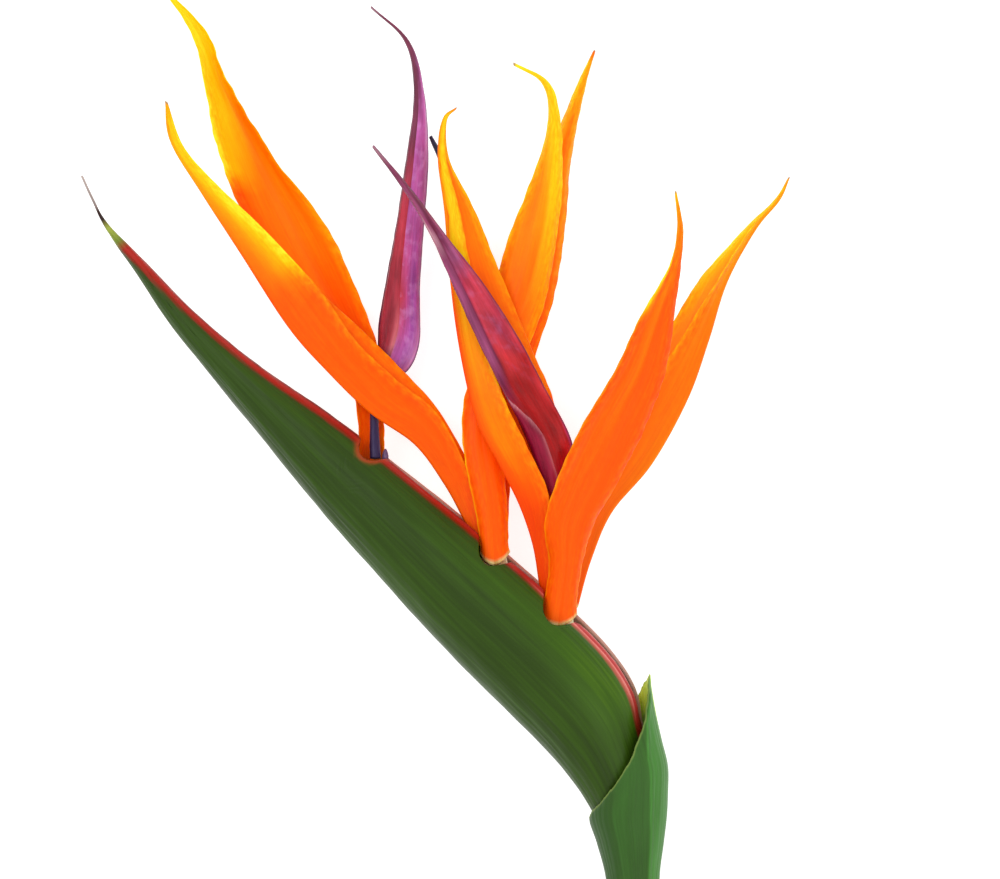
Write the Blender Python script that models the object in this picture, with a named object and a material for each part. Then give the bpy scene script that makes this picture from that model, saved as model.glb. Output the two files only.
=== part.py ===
"""Bird of paradise flower (Strelitzia), a cut stem lying on its side on a flat surface.

The stem end points to -Y, the flowers open towards +Y, the beak of the spathe points to -X
and +Z is up, away from the surface it lies on. Every length below is in millimetres.
"""

import math

import bmesh
import bpy
import numpy as np

MM = 0.001

# Thickness of the soft parts.
SEPAL_WALL = 0.9
PETAL_WALL = 1.5
SPATHE_WALL = 1.3
SHEATH_WALL = 0.6

# Scape: x, y, z and radius along its middle, from the cut end to the head inside the spathe.
SCAPE_PATH = (
    (32.4, -182.0, 5.0, 5.0),
    (32.0, -172.0, 5.1, 4.95),
    (31.5, -161.5, 5.5, 5.0),
    (31.4, -159.4, 5.7, 5.6),
    (31.3, -158.2, 5.7, 5.4),
    (31.2, -156.8, 5.7, 4.1),
    (30.6, -130.0, 6.0, 4.1),
    (29.9, -105.0, 6.7, 4.1),
    (29.5, -96.5, 7.4, 4.1),
    (29.0, -89.0, 8.15, 4.0),
    (27.8, -81.0, 9.0, 3.8),
    (26.6, -76.5, 9.6, 3.6),
)

# Sheath bract: y, middle x, middle z, half width in x, half depth in z, going up.
SHEATH_RINGS = (
    (-155.2, 31.2, 5.7, 5.5, 5.5),
    (-130.0, 30.6, 6.0, 5.5, 5.5),
    (-105.0, 29.9, 6.7, 5.6, 5.6),
    (-96.5, 29.5, 7.4, 5.8, 5.8),
    (-89.0, 28.95, 8.3, 7.2, 7.4),
    (-83.0, 28.3, 9.0, 8.5, 8.2),
    (-78.0, 28.5, 9.6, 8.5, 8.7),
    (-72.0, 28.6, 10.1, 8.4, 8.9),
    (-66.0, 27.4, 10.3, 8.2, 8.8),
    (-60.0, 26.3, 10.4, 8.0, 8.4),
    (-54.0, 25.3, 10.6, 8.0, 8.0),
)
# Mouth of the sheath: angle round it from +X towards +Z, and the y it reaches there.
SHEATH_MOUTH = (
    (-180.0, -85.0),
    (-130.0, -81.8),
    (-95.0, -72.8),
    (-70.0, -62.6),
    (-50.0, -56.8),
    (-32.0, -54.0),
    (-10.0, -52.4),
    (8.0, -52.0),
    (24.0, -54.4),
    (39.0, -58.1),
    (54.0, -62.7),
    (93.0, -70.8),
    (126.0, -78.0),
    (168.0, -82.8),
    (200.0, -85.5),
)
SHEATH_OVERLAP = 0.95

# Spathe: keel x, y; margin x, y; middle z; half depth; how far its walls close, neck to beak.
SPATHE_RINGS = (
    (23.9, -89.0, 34.1, -89.0, 8.2, 4.95, 0.97),
    (22.3, -84.2, 34.0, -79.0, 8.9, 5.4, 0.97),
    (17.6, -76.4, 31.4, -64.0, 10.1, 7.4, 0.94),
    (10.3, -67.5, 28.8, -53.4, 10.9, 9.5, 0.91),
    (0.0, -57.1, 19.9, -41.9, 11.1, 10.45, 0.90),
    (-15.0, -42.0, 0.8, -25.1, 10.7, 10.0, 0.90),
    (-30.1, -25.3, -16.6, -10.9, 10.1, 9.0, 0.90),
    (-45.5, -7.8, -35.1, 3.3, 9.3, 7.4, 0.91),
    (-60.3, 10.2, -53.7, 16.4, 8.4, 5.4, 0.93),
    (-71.5, 24.3, -66.8, 27.6, 7.6, 3.6, 0.94),
    (-80.6, 37.9, -78.0, 39.3, 7.0, 2.1, 0.94),
    (-87.3, 47.0, -86.4, 47.5, 6.7, 1.3, 0.94),
    (-90.4, 53.0, -89.6, 53.2, 6.5, 1.0, 0.94),
    (-92.7, 58.2, -92.1, 58.4, 6.4, 0.9, 0.94),
)
# Openings of the near wall in front of each flower: middle x, y and half sizes.
SPATHE_OPENINGS = (
    (-27.7, -2.2, 4.3, 4.7),
    (-1.6, -23.5, 4.5, 5.4),
    (12.8, -36.3, 4.6, 5.6),
)

# Stalk of each flower inside the spathe, up to the swollen top the sepals stand on.
LEFT_STALK = (
    (23.4, -76.4, 8.0, 1.5),
    (19.4, -71.0, 8.2, 1.6),
    (9.0, -58.0, 7.0, 1.9),
    (-7.0, -38.0, 7.4, 2.0),
    (-20.0, -20.5, 8.6, 2.1),
    (-27.2, -10.6, 9.8, 2.2),
    (-28.0, -7.6, 10.2, 3.0),
    (-28.2, -6.2, 10.3, 2.9),
    (-28.3, -5.5, 10.4, 2.0),
)
MIDDLE_STALK = (
    (25.3, -76.2, 11.4, 1.5),
    (21.4, -70.4, 11.6, 1.7),
    (14.0, -58.5, 11.4, 1.9),
    (3.6, -43.0, 11.8, 2.1),
    (-0.6, -33.5, 11.8, 2.3),
    (-1.2, -29.0, 11.7, 3.2),
    (-1.3, -27.2, 11.5, 3.0),
    (-1.3, -25.9, 11.5, 2.7),
)
RIGHT_STALK = (
    (28.1, -75.2, 8.8, 1.5),
    (25.6, -67.0, 10.4, 1.7),
    (19.8, -56.5, 12.6, 1.9),
    (14.4, -47.6, 12.6, 2.3),
    (13.1, -43.0, 12.0, 3.2),
    (12.9, -40.2, 11.7, 3.3),
    (12.9, -38.2, 11.6, 3.0),
)

# Sepals and petals: one row per cross-section from base to tip, each the points of
# its left or near margin, of its fold and of its right or far margin.
LEFT_SEPAL = (
    ((-30.9, -3.4, 10.6), (-28.4, -4.9, 9.2), (-25.7, -4.0, 10.6)),
    ((-31.3, 3.6, 9.4), (-28.6, 3.2, 7.8), (-25.5, 2.4, 9.4)),
    ((-34.0, 14.5, 7.6), (-30.3, 13.5, 5.6), (-26.5, 12.2, 7.2)),
    ((-43.0, 27.5, 6.4), (-35.5, 25.5, 3.2), (-27.9, 23.4, 5.6)),
    ((-55.3, 46.6, 5.4), (-46.3, 45.6, 1.2), (-37.4, 45.4, 5.6)),
    ((-62.2, 63.0, 4.8), (-54.2, 62.4, 0.5), (-50.3, 63.0, 4.6)),
    ((-65.3, 78.0, 4.2), (-61.2, 77.6, 1.3), (-59.9, 78.2, 3.8)),
    ((-68.6, 90.4, 3.8), (-66.6, 90.2, 1.9), (-64.9, 90.2, 3.4)),
    ((-74.7, 99.6, 3.0), (-74.5, 100.0, 2.6), (-74.1, 99.8, 3.0)),
)
MIDDLE_KEELED_SEPAL = (
    ((-3.4, -24.0, 12.5), (-4.9, -23.2, 11.2), (-3.1, -24.0, 9.9)),
    ((-4.6, -16.6, 12.5), (-7.7, -17.6, 11.4), (-4.4, -16.8, 9.9)),
    ((-6.8, -7.4, 11.9), (-11.9, -10.0, 11.3), (-5.9, -7.4, 9.7)),
    ((-13.6, 5.6, 13.5), (-18.5, -1.0, 12.2), (-13.3, 6.2, 10.2)),
    ((-22.6, 13.1, 15.2), (-28.4, 6.0, 13.0), (-22.3, 16.2, 11.4)),
    ((-31.7, 21.9, 15.6), (-37.9, 15.2, 13.1), (-30.5, 24.3, 11.4)),
    ((-39.6, 33.0, 15.2), (-46.5, 25.0, 12.8), (-39.9, 32.9, 11.2)),
    ((-51.0, 45.4, 14.4), (-57.0, 41.2, 12.3), (-51.4, 45.2, 10.8)),
    ((-61.0, 54.9, 13.4), (-65.2, 53.8, 11.9), (-61.3, 54.8, 10.6)),
    ((-69.4, 64.2, 12.2), (-72.4, 65.6, 11.5), (-69.6, 64.2, 10.6)),
    ((-73.2, 74.3, 11.5), (-73.7, 74.6, 11.3), (-73.2, 74.3, 11.0)),
)
MIDDLE_FRONT_SEPAL = (
    ((-4.0, -25.2, 14.3), (-1.3, -27.6, 15.7), (1.7, -25.0, 14.2)),
    ((-5.3, -16.4, 14.1), (-1.8, -16.5, 15.1), (1.7, -16.4, 13.4)),
    ((-7.4, -6.4, 13.4), (-3.5, -6.0, 14.1), (0.9, -6.4, 12.6)),
    ((-8.4, 5.0, 11.6), (-4.3, 5.0, 12.8), (-0.4, 4.6, 11.4)),
    ((-6.0, 17.0, 9.8), (-0.9, 17.5, 11.4), (4.8, 16.6, 10.2)),
    ((-1.9, 32.0, 8.4), (5.6, 31.6, 10.2), (10.1, 31.2, 8.8)),
    ((2.0, 45.0, 8.0), (9.2, 45.4, 10.0), (12.6, 45.4, 8.8)),
    ((7.2, 58.0, 8.0), (11.0, 57.8, 9.8), (13.7, 57.6, 8.6)),
    ((10.5, 69.8, 8.0), (11.8, 70.0, 9.2), (13.4, 70.0, 8.4)),
    ((9.4, 78.4, 8.0), (10.0, 78.9, 8.7), (10.9, 78.6, 8.3)),
    ((2.9, 82.6, 8.0), (2.9, 83.0, 8.1), (2.9, 83.3, 8.0)),
)
MIDDLE_BACK_SEPAL = (
    ((-1.0, -25.2, 9.8), (0.7, -25.6, 9.5), (1.6, -24.8, 10.6)),
    ((-2.4, -10.0, 8.6), (0.6, -10.0, 8.3), (2.3, -10.0, 9.4)),
    ((-1.6, 4.0, 6.8), (2.2, 4.0, 6.6), (5.0, 4.0, 7.4)),
    ((1.4, 18.0, 4.4), (4.8, 18.0, 5.4), (7.7, 18.0, 5.0)),
    ((4.6, 32.0, 2.4), (8.6, 32.0, 4.2), (12.1, 32.0, 3.2)),
    ((6.8, 46.0, 1.2), (10.8, 46.0, 3.4), (14.3, 46.0, 1.9)),
    ((9.6, 60.0, 0.3), (12.8, 60.0, 2.8), (15.6, 60.4, 1.0)),
    ((14.3, 72.0, 0.3), (16.1, 72.0, 1.9), (17.6, 72.2, 0.8)),
    ((17.7, 80.0, 0.7), (18.5, 80.0, 1.4), (19.4, 80.2, 0.8)),
    ((20.7, 86.2, 0.8), (21.0, 86.5, 1.1), (21.2, 86.3, 0.8)),
)
RIGHT_KEELED_SEPAL = (
    ((11.3, -37.4, 13.4), (9.7, -37.2, 12.2), (11.6, -37.4, 10.6)),
    ((11.1, -30.5, 14.4), (8.8, -30.9, 12.9), (11.6, -30.5, 10.6)),
    ((10.4, -21.0, 16.2), (7.4, -23.0, 14.2), (12.4, -21.5, 11.4)),
    ((10.7, -12.0, 18.4), (4.4, -14.2, 16.0), (13.4, -11.6, 12.4)),
    ((6.2, -2.0, 20.2), (-0.2, -4.9, 17.4), (12.4, 2.0, 12.9)),
    ((1.8, 7.0, 20.0), (-5.0, 4.6, 17.6), (11.6, 9.4, 13.2)),
    ((-2.6, 19.0, 18.2), (-8.7, 20.2, 17.2), (6.6, 21.0, 13.2)),
    ((-5.8, 34.6, 17.4), (-10.7, 34.5, 16.6), (0.7, 35.2, 13.0)),
    ((-8.8, 50.2, 16.6), (-12.1, 50.4, 15.9), (-5.4, 50.2, 13.4)),
    ((-11.7, 61.4, 15.6), (-13.5, 61.6, 15.2), (-10.9, 60.9, 13.8)),
    ((-11.7, 69.8, 15.2), (-12.6, 70.2, 15.0), (-11.7, 69.6, 14.5)),
    ((-9.5, 72.6, 15.1), (-9.5, 73.0, 15.0), (-9.5, 72.7, 14.8)),
)
RIGHT_FRONT_SEPAL = (
    ((9.1, -38.6, 14.7), (12.6, -41.0, 16.0), (16.4, -38.6, 14.6)),
    ((10.7, -28.0, 16.6), (14.2, -28.0, 17.8), (17.9, -28.2, 15.6)),
    ((9.7, -18.6, 19.4), (14.6, -18.6, 20.4), (20.6, -18.6, 17.2)),
    ((12.6, -8.4, 21.0), (18.2, -9.0, 21.6), (25.5, -9.6, 18.0)),
    ((17.8, 3.0, 21.4), (24.0, 3.0, 21.9), (31.8, 2.6, 18.6)),
    ((25.0, 15.0, 21.6), (30.2, 15.0, 21.9), (36.1, 14.8, 19.0)),
    ((30.6, 26.8, 21.2), (34.4, 27.0, 21.4), (38.2, 27.0, 19.4)),
    ((36.9, 37.8, 20.8), (38.1, 38.0, 20.9), (39.5, 38.0, 19.9)),
    ((38.7, 46.0, 20.2), (39.3, 46.2, 20.4), (40.0, 46.0, 19.8)),
    ((38.2, 54.0, 19.9), (38.4, 54.4, 20.0), (38.6, 54.0, 19.8)),
)
RIGHT_BACK_SEPAL = (
    ((15.3, -37.4, 12.6), (16.6, -37.2, 11.4), (15.0, -37.4, 9.9)),
    ((16.8, -25.6, 12.4), (19.8, -26.4, 10.6), (15.8, -25.4, 8.6)),
    ((19.4, -13.6, 12.4), (24.5, -15.8, 9.6), (18.2, -13.0, 7.0)),
    ((25.6, -0.6, 11.4), (33.4, -5.2, 7.8), (24.2, 0.6, 4.8)),
    ((34.2, 13.4, 9.8), (41.3, 9.0, 5.8), (31.6, 15.0, 2.4)),
    ((41.3, 24.4, 8.0), (46.0, 22.0, 4.2), (38.3, 25.8, 0.7)),
    ((48.2, 35.6, 6.0), (50.1, 35.0, 3.2), (44.4, 35.8, 0.3)),
    ((55.2, 46.2, 4.4), (56.5, 46.6, 2.7), (54.2, 46.6, 0.9)),
    ((61.2, 53.2, 3.1), (62.0, 53.2, 2.3), (60.9, 53.2, 1.5)),
    ((64.0, 58.0, 2.3), (64.3, 58.2, 2.1), (64.0, 58.2, 1.9)),
)
LEFT_ARROW_PETAL = (
    ((-28.5, -4.3, 11.8), (-27.4, -4.3, 12.9), (-26.3, -4.3, 11.8)),
    ((-28.5, 2.0, 10.8), (-27.7, 2.0, 11.8), (-26.8, 2.0, 10.8)),
    ((-28.3, 8.0, 9.2), (-27.6, 8.0, 10.2), (-26.8, 8.0, 9.2)),
    ((-27.3, 14.0, 7.7), (-26.2, 13.8, 8.8), (-24.9, 13.4, 7.7)),
    ((-26.9, 18.6, 6.8), (-24.1, 18.6, 8.2), (-20.4, 15.2, 6.8)),
    ((-26.8, 25.5, 6.8), (-22.4, 25.0, 8.6), (-17.8, 21.5, 6.8)),
    ((-25.2, 34.5, 7.4), (-21.9, 35.0, 9.4), (-17.7, 33.5, 7.4)),
    ((-22.8, 47.5, 8.4), (-20.7, 47.2, 10.2), (-16.8, 47.0, 8.4)),
    ((-20.6, 62.0, 9.4), (-19.0, 62.0, 11.0), (-15.8, 62.0, 9.4)),
    ((-18.9, 76.0, 9.8), (-18.0, 76.0, 11.2), (-16.7, 76.0, 9.8)),
    ((-20.9, 87.6, 9.8), (-20.3, 87.5, 10.9), (-19.8, 87.1, 9.8)),
    ((-28.6, 95.2, 9.8), (-28.5, 95.4, 10.2), (-28.4, 95.6, 9.8)),
)
MIDDLE_ARROW_PETAL = (
    ((-1.9, -25.0, 11.3), (-1.2, -25.0, 12.1), (-0.4, -25.0, 11.3)),
    ((-3.7, -8.0, 10.2), (-2.9, -8.0, 11.0), (-2.0, -8.0, 10.2)),
    ((-5.4, 6.0, 7.9), (-4.5, 6.0, 8.7), (-3.6, 6.0, 7.9)),
    ((-6.2, 12.0, 6.6), (-4.9, 12.0, 7.5), (-3.6, 12.0, 6.6)),
    ((-6.8, 17.0, 5.6), (-4.4, 17.0, 6.9), (-1.4, 16.0, 5.6)),
    ((-8.2, 24.0, 5.2), (-4.8, 24.0, 6.9), (-1.6, 23.0, 5.2)),
    ((-9.5, 36.0, 5.8), (-6.4, 36.0, 7.6), (-3.2, 36.0, 5.8)),
    ((-10.8, 50.0, 7.2), (-8.9, 50.0, 8.7), (-7.0, 50.0, 7.2)),
    ((-13.0, 60.0, 7.4), (-12.1, 60.0, 8.6), (-11.2, 60.0, 7.4)),
    ((-15.7, 66.8, 7.6), (-15.4, 67.0, 7.9), (-15.1, 67.2, 7.6)),
)
RIGHT_ARROW_PETAL = (
    ((12.4, -37.4, 12.1), (13.2, -37.4, 13.0), (14.0, -37.4, 12.1)),
    ((12.9, -26.0, 13.3), (13.8, -26.0, 14.2), (14.7, -26.0, 13.3)),
    ((12.9, -16.0, 14.7), (13.9, -16.0, 15.6), (14.9, -16.0, 14.7)),
    ((10.0, -10.4, 15.0), (11.9, -7.4, 16.8), (15.9, -4.0, 15.8)),
    ((4.9, 2.4, 16.9), (8.2, 3.0, 18.2), (15.2, 1.2, 17.5)),
    ((0.6, 11.0, 20.3), (2.6, 11.4, 21.2), (10.0, 11.0, 18.8)),
    ((-4.9, 22.0, 21.2), (-2.9, 22.3, 22.2), (4.2, 22.0, 20.4)),
    ((-10.3, 34.0, 21.3), (-8.4, 34.0, 22.6), (-3.6, 34.0, 21.2)),
    ((-15.3, 45.0, 21.5), (-14.1, 45.1, 22.7), (-12.2, 45.0, 21.6)),
    ((-21.1, 54.6, 21.6), (-20.5, 54.9, 22.5), (-19.9, 55.2, 21.6)),
    ((-27.9, 63.9, 21.6), (-27.8, 64.1, 22.0), (-27.6, 64.3, 21.6)),
)
# Small hooded petal at the foot of the left flower: middle and half sizes.
NECTARY_MIDDLE = (-25.2, -3.7, 12.4)
NECTARY_HALF = (0.7, 1.7, 0.8)


def clear_scene():
    for obj in list(bpy.data.objects):
        bpy.data.objects.remove(obj, do_unlink=True)


def make_material(name, colour, roughness):
    material = bpy.data.materials.new(name)
    material.use_nodes = True
    shader = material.node_tree.nodes["Principled BSDF"]
    shader.inputs["Base Color"].default_value = (*colour, 1.0)
    shader.inputs["Roughness"].default_value = roughness
    return material


def make_object(name, points, faces, material):
    """A smooth-shaded object from points in millimetres, with its faces turned outwards."""
    mesh = bpy.data.meshes.new(name)
    mesh.from_pydata((np.asarray(points) * MM).tolist(), [], faces)
    work = bmesh.new()
    work.from_mesh(mesh)
    bmesh.ops.recalc_face_normals(work, faces=work.faces)
    for face in work.faces:
        face.smooth = True
    work.to_mesh(mesh)
    work.free()
    obj = bpy.data.objects.new(name, mesh)
    obj.data.materials.append(material)
    bpy.context.collection.objects.link(obj)
    return obj


def along(stations, steps):
    """Points on a smooth curve through the stations, at the given positions from 0 to 1."""
    stations = np.asarray(stations, float)
    padded = np.vstack([2 * stations[0] - stations[1], stations, 2 * stations[-1] - stations[-2]])
    place = np.asarray(steps) * (len(stations) - 1)
    index = np.minimum(place.astype(int), len(stations) - 2)
    t = (place - index)[:, None]
    p0, p1, p2, p3 = (padded[index + k] for k in range(4))
    return 0.5 * (
        2 * p1
        + (p2 - p0) * t
        + (2 * p0 - 5 * p1 + 4 * p2 - p3) * t**2
        + (3 * p1 - p0 - 3 * p2 + p3) * t**3
    )


def grid_normals(grid):
    """Unit normals of a grid of points."""
    down = np.gradient(grid, axis=0)
    across = np.gradient(grid, axis=1)
    normals = np.cross(down, across)
    return normals / np.maximum(np.linalg.norm(normals, axis=2, keepdims=True), 1e-9)


def grid_faces(rows, cols, start, flip):
    faces = []
    for i in range(rows - 1):
        for j in range(cols - 1):
            a = start + i * cols + j
            quad = (a, a + 1, a + cols + 1, a + cols)
            faces.append(quad[::-1] if flip else quad)
    return faces


def closed_sheet(name, grid, thickness, material):
    """A solid leaf of the given thickness with the grid as its middle surface."""
    rows, cols = grid.shape[:2]
    offset = grid_normals(grid) * thickness[..., None] / 2
    points = np.concatenate([(grid + offset).reshape(-1, 3), (grid - offset).reshape(-1, 3)])
    back = rows * cols
    faces = grid_faces(rows, cols, 0, False) + grid_faces(rows, cols, back, True)
    rim = [j for j in range(cols)]
    rim += [i * cols + cols - 1 for i in range(1, rows)]
    rim += [(rows - 1) * cols + j for j in range(cols - 2, -1, -1)]
    rim += [i * cols for i in range(rows - 2, 0, -1)]
    for a, b in zip(rim, rim[1:] + rim[:1]):
        faces.append((b, a, back + a, back + b))
    return make_object(name, points, faces, material)


def folded_grid(stations, rows, cols, softness):
    """Cross-sections that run from one margin over a rounded fold to the other margin."""
    rails = np.asarray(stations, float)
    steps = np.linspace(0, 1, rows)
    near = along(rails[:, 0], steps)
    fold = along(rails[:, 1], steps)
    far = along(rails[:, 2], steps)
    v = np.linspace(-1, 1, cols)[None, :, None]
    rest = (math.sqrt(1 + softness**2) - 1) / 2
    to_near = (np.sqrt(v**2 + softness**2) - v) / 2 - rest
    to_far = (np.sqrt(v**2 + softness**2) + v) / 2 - rest
    pull = softness / 2 - rest
    corner = (fold - pull * (near + far)) / (1 - 2 * pull)
    near, far, corner = near[:, None], far[:, None], corner[:, None]
    return corner + (near - corner) * to_near + (far - corner) * to_far


def thin_to_edges(rows, cols, wall, edge_share, tip_share):
    """Thickness over a grid: full in the middle, thinner at both margins and at the tip."""
    u = np.linspace(0, 1, rows)[:, None]
    v = np.linspace(-1, 1, cols)[None, :]
    across = edge_share + (1 - edge_share) * (1 - v**2)
    lengthwise = 1 - (1 - tip_share) * u**3
    return wall * across * lengthwise


def make_sepal(name, stations, material):
    rows, cols = 19, 7
    grid = folded_grid(stations, rows, cols, 0.3)
    return closed_sheet(name, grid, thin_to_edges(rows, cols, SEPAL_WALL, 0.6, 0.6), material)


def make_arrow_petal(name, stations, material):
    rows, cols = 24, 5
    grid = folded_grid(stations, rows, cols, 0.35)
    return closed_sheet(name, grid, thin_to_edges(rows, cols, PETAL_WALL, 0.55, 0.4), material)


def spathe_steps():
    """Positions along the spathe, closer together beside the flowers."""
    coarse = np.linspace(0, 3 / 13, 8)
    fine = np.linspace(3 / 13, 7 / 13, 27)[1:]
    beak = np.linspace(7 / 13, 1, 14)[1:]
    return np.concatenate([coarse, fine, beak])


def spathe_grid(cols):
    rings = along(np.asarray(SPATHE_RINGS), spathe_steps())
    keel, margin = rings[:, None, 0:2], rings[:, None, 2:4]
    middle, depth, closing = (rings[:, k, None] for k in (4, 5, 6))
    v = np.linspace(-1, 1, cols)[None, :]
    angle = math.pi * closing * np.abs(v) ** 0.9
    reach = (1 - np.cos(angle)) / (1 - np.cos(math.pi * closing))
    flat = keel + (margin - keel) * reach[..., None]
    height = middle - np.sign(v) * depth * np.sin(angle)
    return np.concatenate([flat, height[..., None]], axis=2)


def make_opening_cutter(index, opening):
    """An upright oval prism that opens the near wall of the spathe in front of a flower."""
    x, y, half_x, half_y = opening
    sides = 20
    turn = [2 * math.pi * k / sides for k in range(sides)]
    ring = [(x + half_x * math.cos(a), y + half_y * math.sin(a)) for a in turn]
    points = [(px, py, 11.2) for px, py in ring] + [(px, py, 40.0) for px, py in ring]
    faces = [tuple(range(sides - 1, -1, -1)), tuple(range(sides, 2 * sides))]
    for k in range(sides):
        n = (k + 1) % sides
        faces.append((k, n, sides + n, sides + k))
    cutter = make_object(f"cutter_{index}", points, faces, bpy.data.materials["spathe_green"])
    cutter.hide_render = True
    cutter.hide_viewport = True
    return cutter


def make_spathe(material):
    cols = 15
    grid = spathe_grid(cols)
    rows = grid.shape[0]
    wall = thin_to_edges(rows, cols, SPATHE_WALL, 0.85, 0.45)
    spathe = closed_sheet("spathe", grid, wall, material)
    for index, opening in enumerate(SPATHE_OPENINGS):
        cut = spathe.modifiers.new(f"opening_{index}", "BOOLEAN")
        cut.operation = "DIFFERENCE"
        cut.solver = "EXACT"
        cut.object = make_opening_cutter(index, opening)
    return spathe


def table_at(table, where):
    """Values of a table's columns at the given places of its first column."""
    table = np.asarray(table, float)
    return [np.interp(where, table[:, 0], table[:, k]) for k in range(1, table.shape[1])]


def make_sheath(material):
    rows, cols = 15, 25
    start = math.radians(-180)
    angle = np.linspace(start, math.radians(200), cols)[None, :]
    (top,) = table_at(SHEATH_MOUTH, np.degrees(angle))
    bottom = SHEATH_RINGS[0][0]
    u = (np.linspace(0, 1, rows) ** 0.75)[:, None]
    y = bottom + (top - bottom) * u
    x_mid, z_mid, half_x, half_z = table_at(SHEATH_RINGS, y)
    wrap = SHEATH_OVERLAP * (angle - start) / (2 * math.pi)
    x = x_mid + (half_x - 0.8 + wrap) * np.cos(angle)
    z = z_mid + (half_z - 0.8 + wrap) * np.sin(angle)
    grid = np.stack([x, y, z], axis=2)
    thickness = np.full((rows, cols), SHEATH_WALL) * (1 - 0.3 * u**4)
    return closed_sheet("sheath_bract", grid, thickness, material)


def make_rod(name, path, rows, sides, material):
    """A round rod along a path of x, y, z and radius, closed at both ends."""
    steps = np.linspace(0, 1, rows)
    rings = along(np.asarray(path), steps)
    middle, radius = rings[:, :3], rings[:, 3]
    ahead = np.gradient(middle, axis=0)
    ahead /= np.linalg.norm(ahead, axis=1, keepdims=True)
    side = np.cross(ahead, (0.0, 0.0, 1.0))
    side /= np.linalg.norm(side, axis=1, keepdims=True)
    up = np.cross(side, ahead)
    turn = np.linspace(0, 2 * math.pi, sides, endpoint=False)[None, :, None]
    spread = side[:, None] * np.cos(turn) + up[:, None] * np.sin(turn)
    points = (middle[:, None] + spread * radius[:, None, None]).reshape(-1, 3)
    faces = []
    for i in range(rows - 1):
        for j in range(sides):
            n = (j + 1) % sides
            faces.append((i * sides + j, i * sides + n, (i + 1) * sides + n, (i + 1) * sides + j))
    faces.append(tuple(range(sides - 1, -1, -1)))
    faces.append(tuple((rows - 1) * sides + j for j in range(sides)))
    return make_object(name, points, faces, material)


def make_nectary(material):
    """The small rounded hood beside the claw of the left arrow petal."""
    work = bmesh.new()
    bmesh.ops.create_uvsphere(work, u_segments=12, v_segments=8, radius=1.0)
    points = [
        [m + h * c for m, h, c in zip(NECTARY_MIDDLE, NECTARY_HALF, vert.co)]
        for vert in work.verts
    ]
    faces = [tuple(vert.index for vert in face.verts) for face in work.faces]
    work.free()
    return make_object("left_nectary_petal", points, faces, material)


def centre_on_base(objects):
    """Moves every mesh so that the origin is the middle of the underside."""
    corners = np.array([v.co for obj in objects for v in obj.data.vertices])
    low, high = corners.min(axis=0), corners.max(axis=0)
    shift = (-(low[0] + high[0]) / 2, -(low[1] + high[1]) / 2, -low[2])
    for obj in bpy.data.objects:
        for vert in obj.data.vertices:
            vert.co.x += shift[0]
            vert.co.y += shift[1]
            vert.co.z += shift[2]


def main():
    clear_scene()
    green = make_material("spathe_green", (0.045, 0.115, 0.020), 0.42)
    sheath_green = make_material("sheath_green", (0.060, 0.175, 0.045), 0.45)
    stem_green = make_material("stem_green", (0.080, 0.200, 0.050), 0.48)
    stalk_cream = make_material("stalk_cream", (0.620, 0.560, 0.330), 0.55)
    orange = make_material("sepal_orange", (1.000, 0.150, 0.003), 0.42)
    violet = make_material("arrow_petal_violet", (0.250, 0.030, 0.130), 0.40)
    blue = make_material("nectary_blue", (0.090, 0.080, 0.260), 0.45)
    made = [
        make_rod("scape", SCAPE_PATH, 34, 20, stem_green),
        make_sheath(sheath_green),
        make_spathe(green),
        make_rod("left_stalk", LEFT_STALK, 22, 10, stalk_cream),
        make_rod("middle_stalk", MIDDLE_STALK, 18, 10, stalk_cream),
        make_rod("right_stalk", RIGHT_STALK, 16, 10, stalk_cream),
        make_sepal("left_sepal", LEFT_SEPAL, orange),
        make_sepal("middle_keeled_sepal", MIDDLE_KEELED_SEPAL, orange),
        make_sepal("middle_front_sepal", MIDDLE_FRONT_SEPAL, orange),
        make_sepal("middle_back_sepal", MIDDLE_BACK_SEPAL, orange),
        make_sepal("right_keeled_sepal", RIGHT_KEELED_SEPAL, orange),
        make_sepal("right_front_sepal", RIGHT_FRONT_SEPAL, orange),
        make_sepal("right_back_sepal", RIGHT_BACK_SEPAL, orange),
        make_arrow_petal("left_arrow_petal", LEFT_ARROW_PETAL, violet),
        make_arrow_petal("middle_arrow_petal", MIDDLE_ARROW_PETAL, violet),
        make_arrow_petal("right_arrow_petal", RIGHT_ARROW_PETAL, violet),
        make_nectary(blue),
    ]
    centre_on_base(made)


main()
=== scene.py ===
import math

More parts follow.
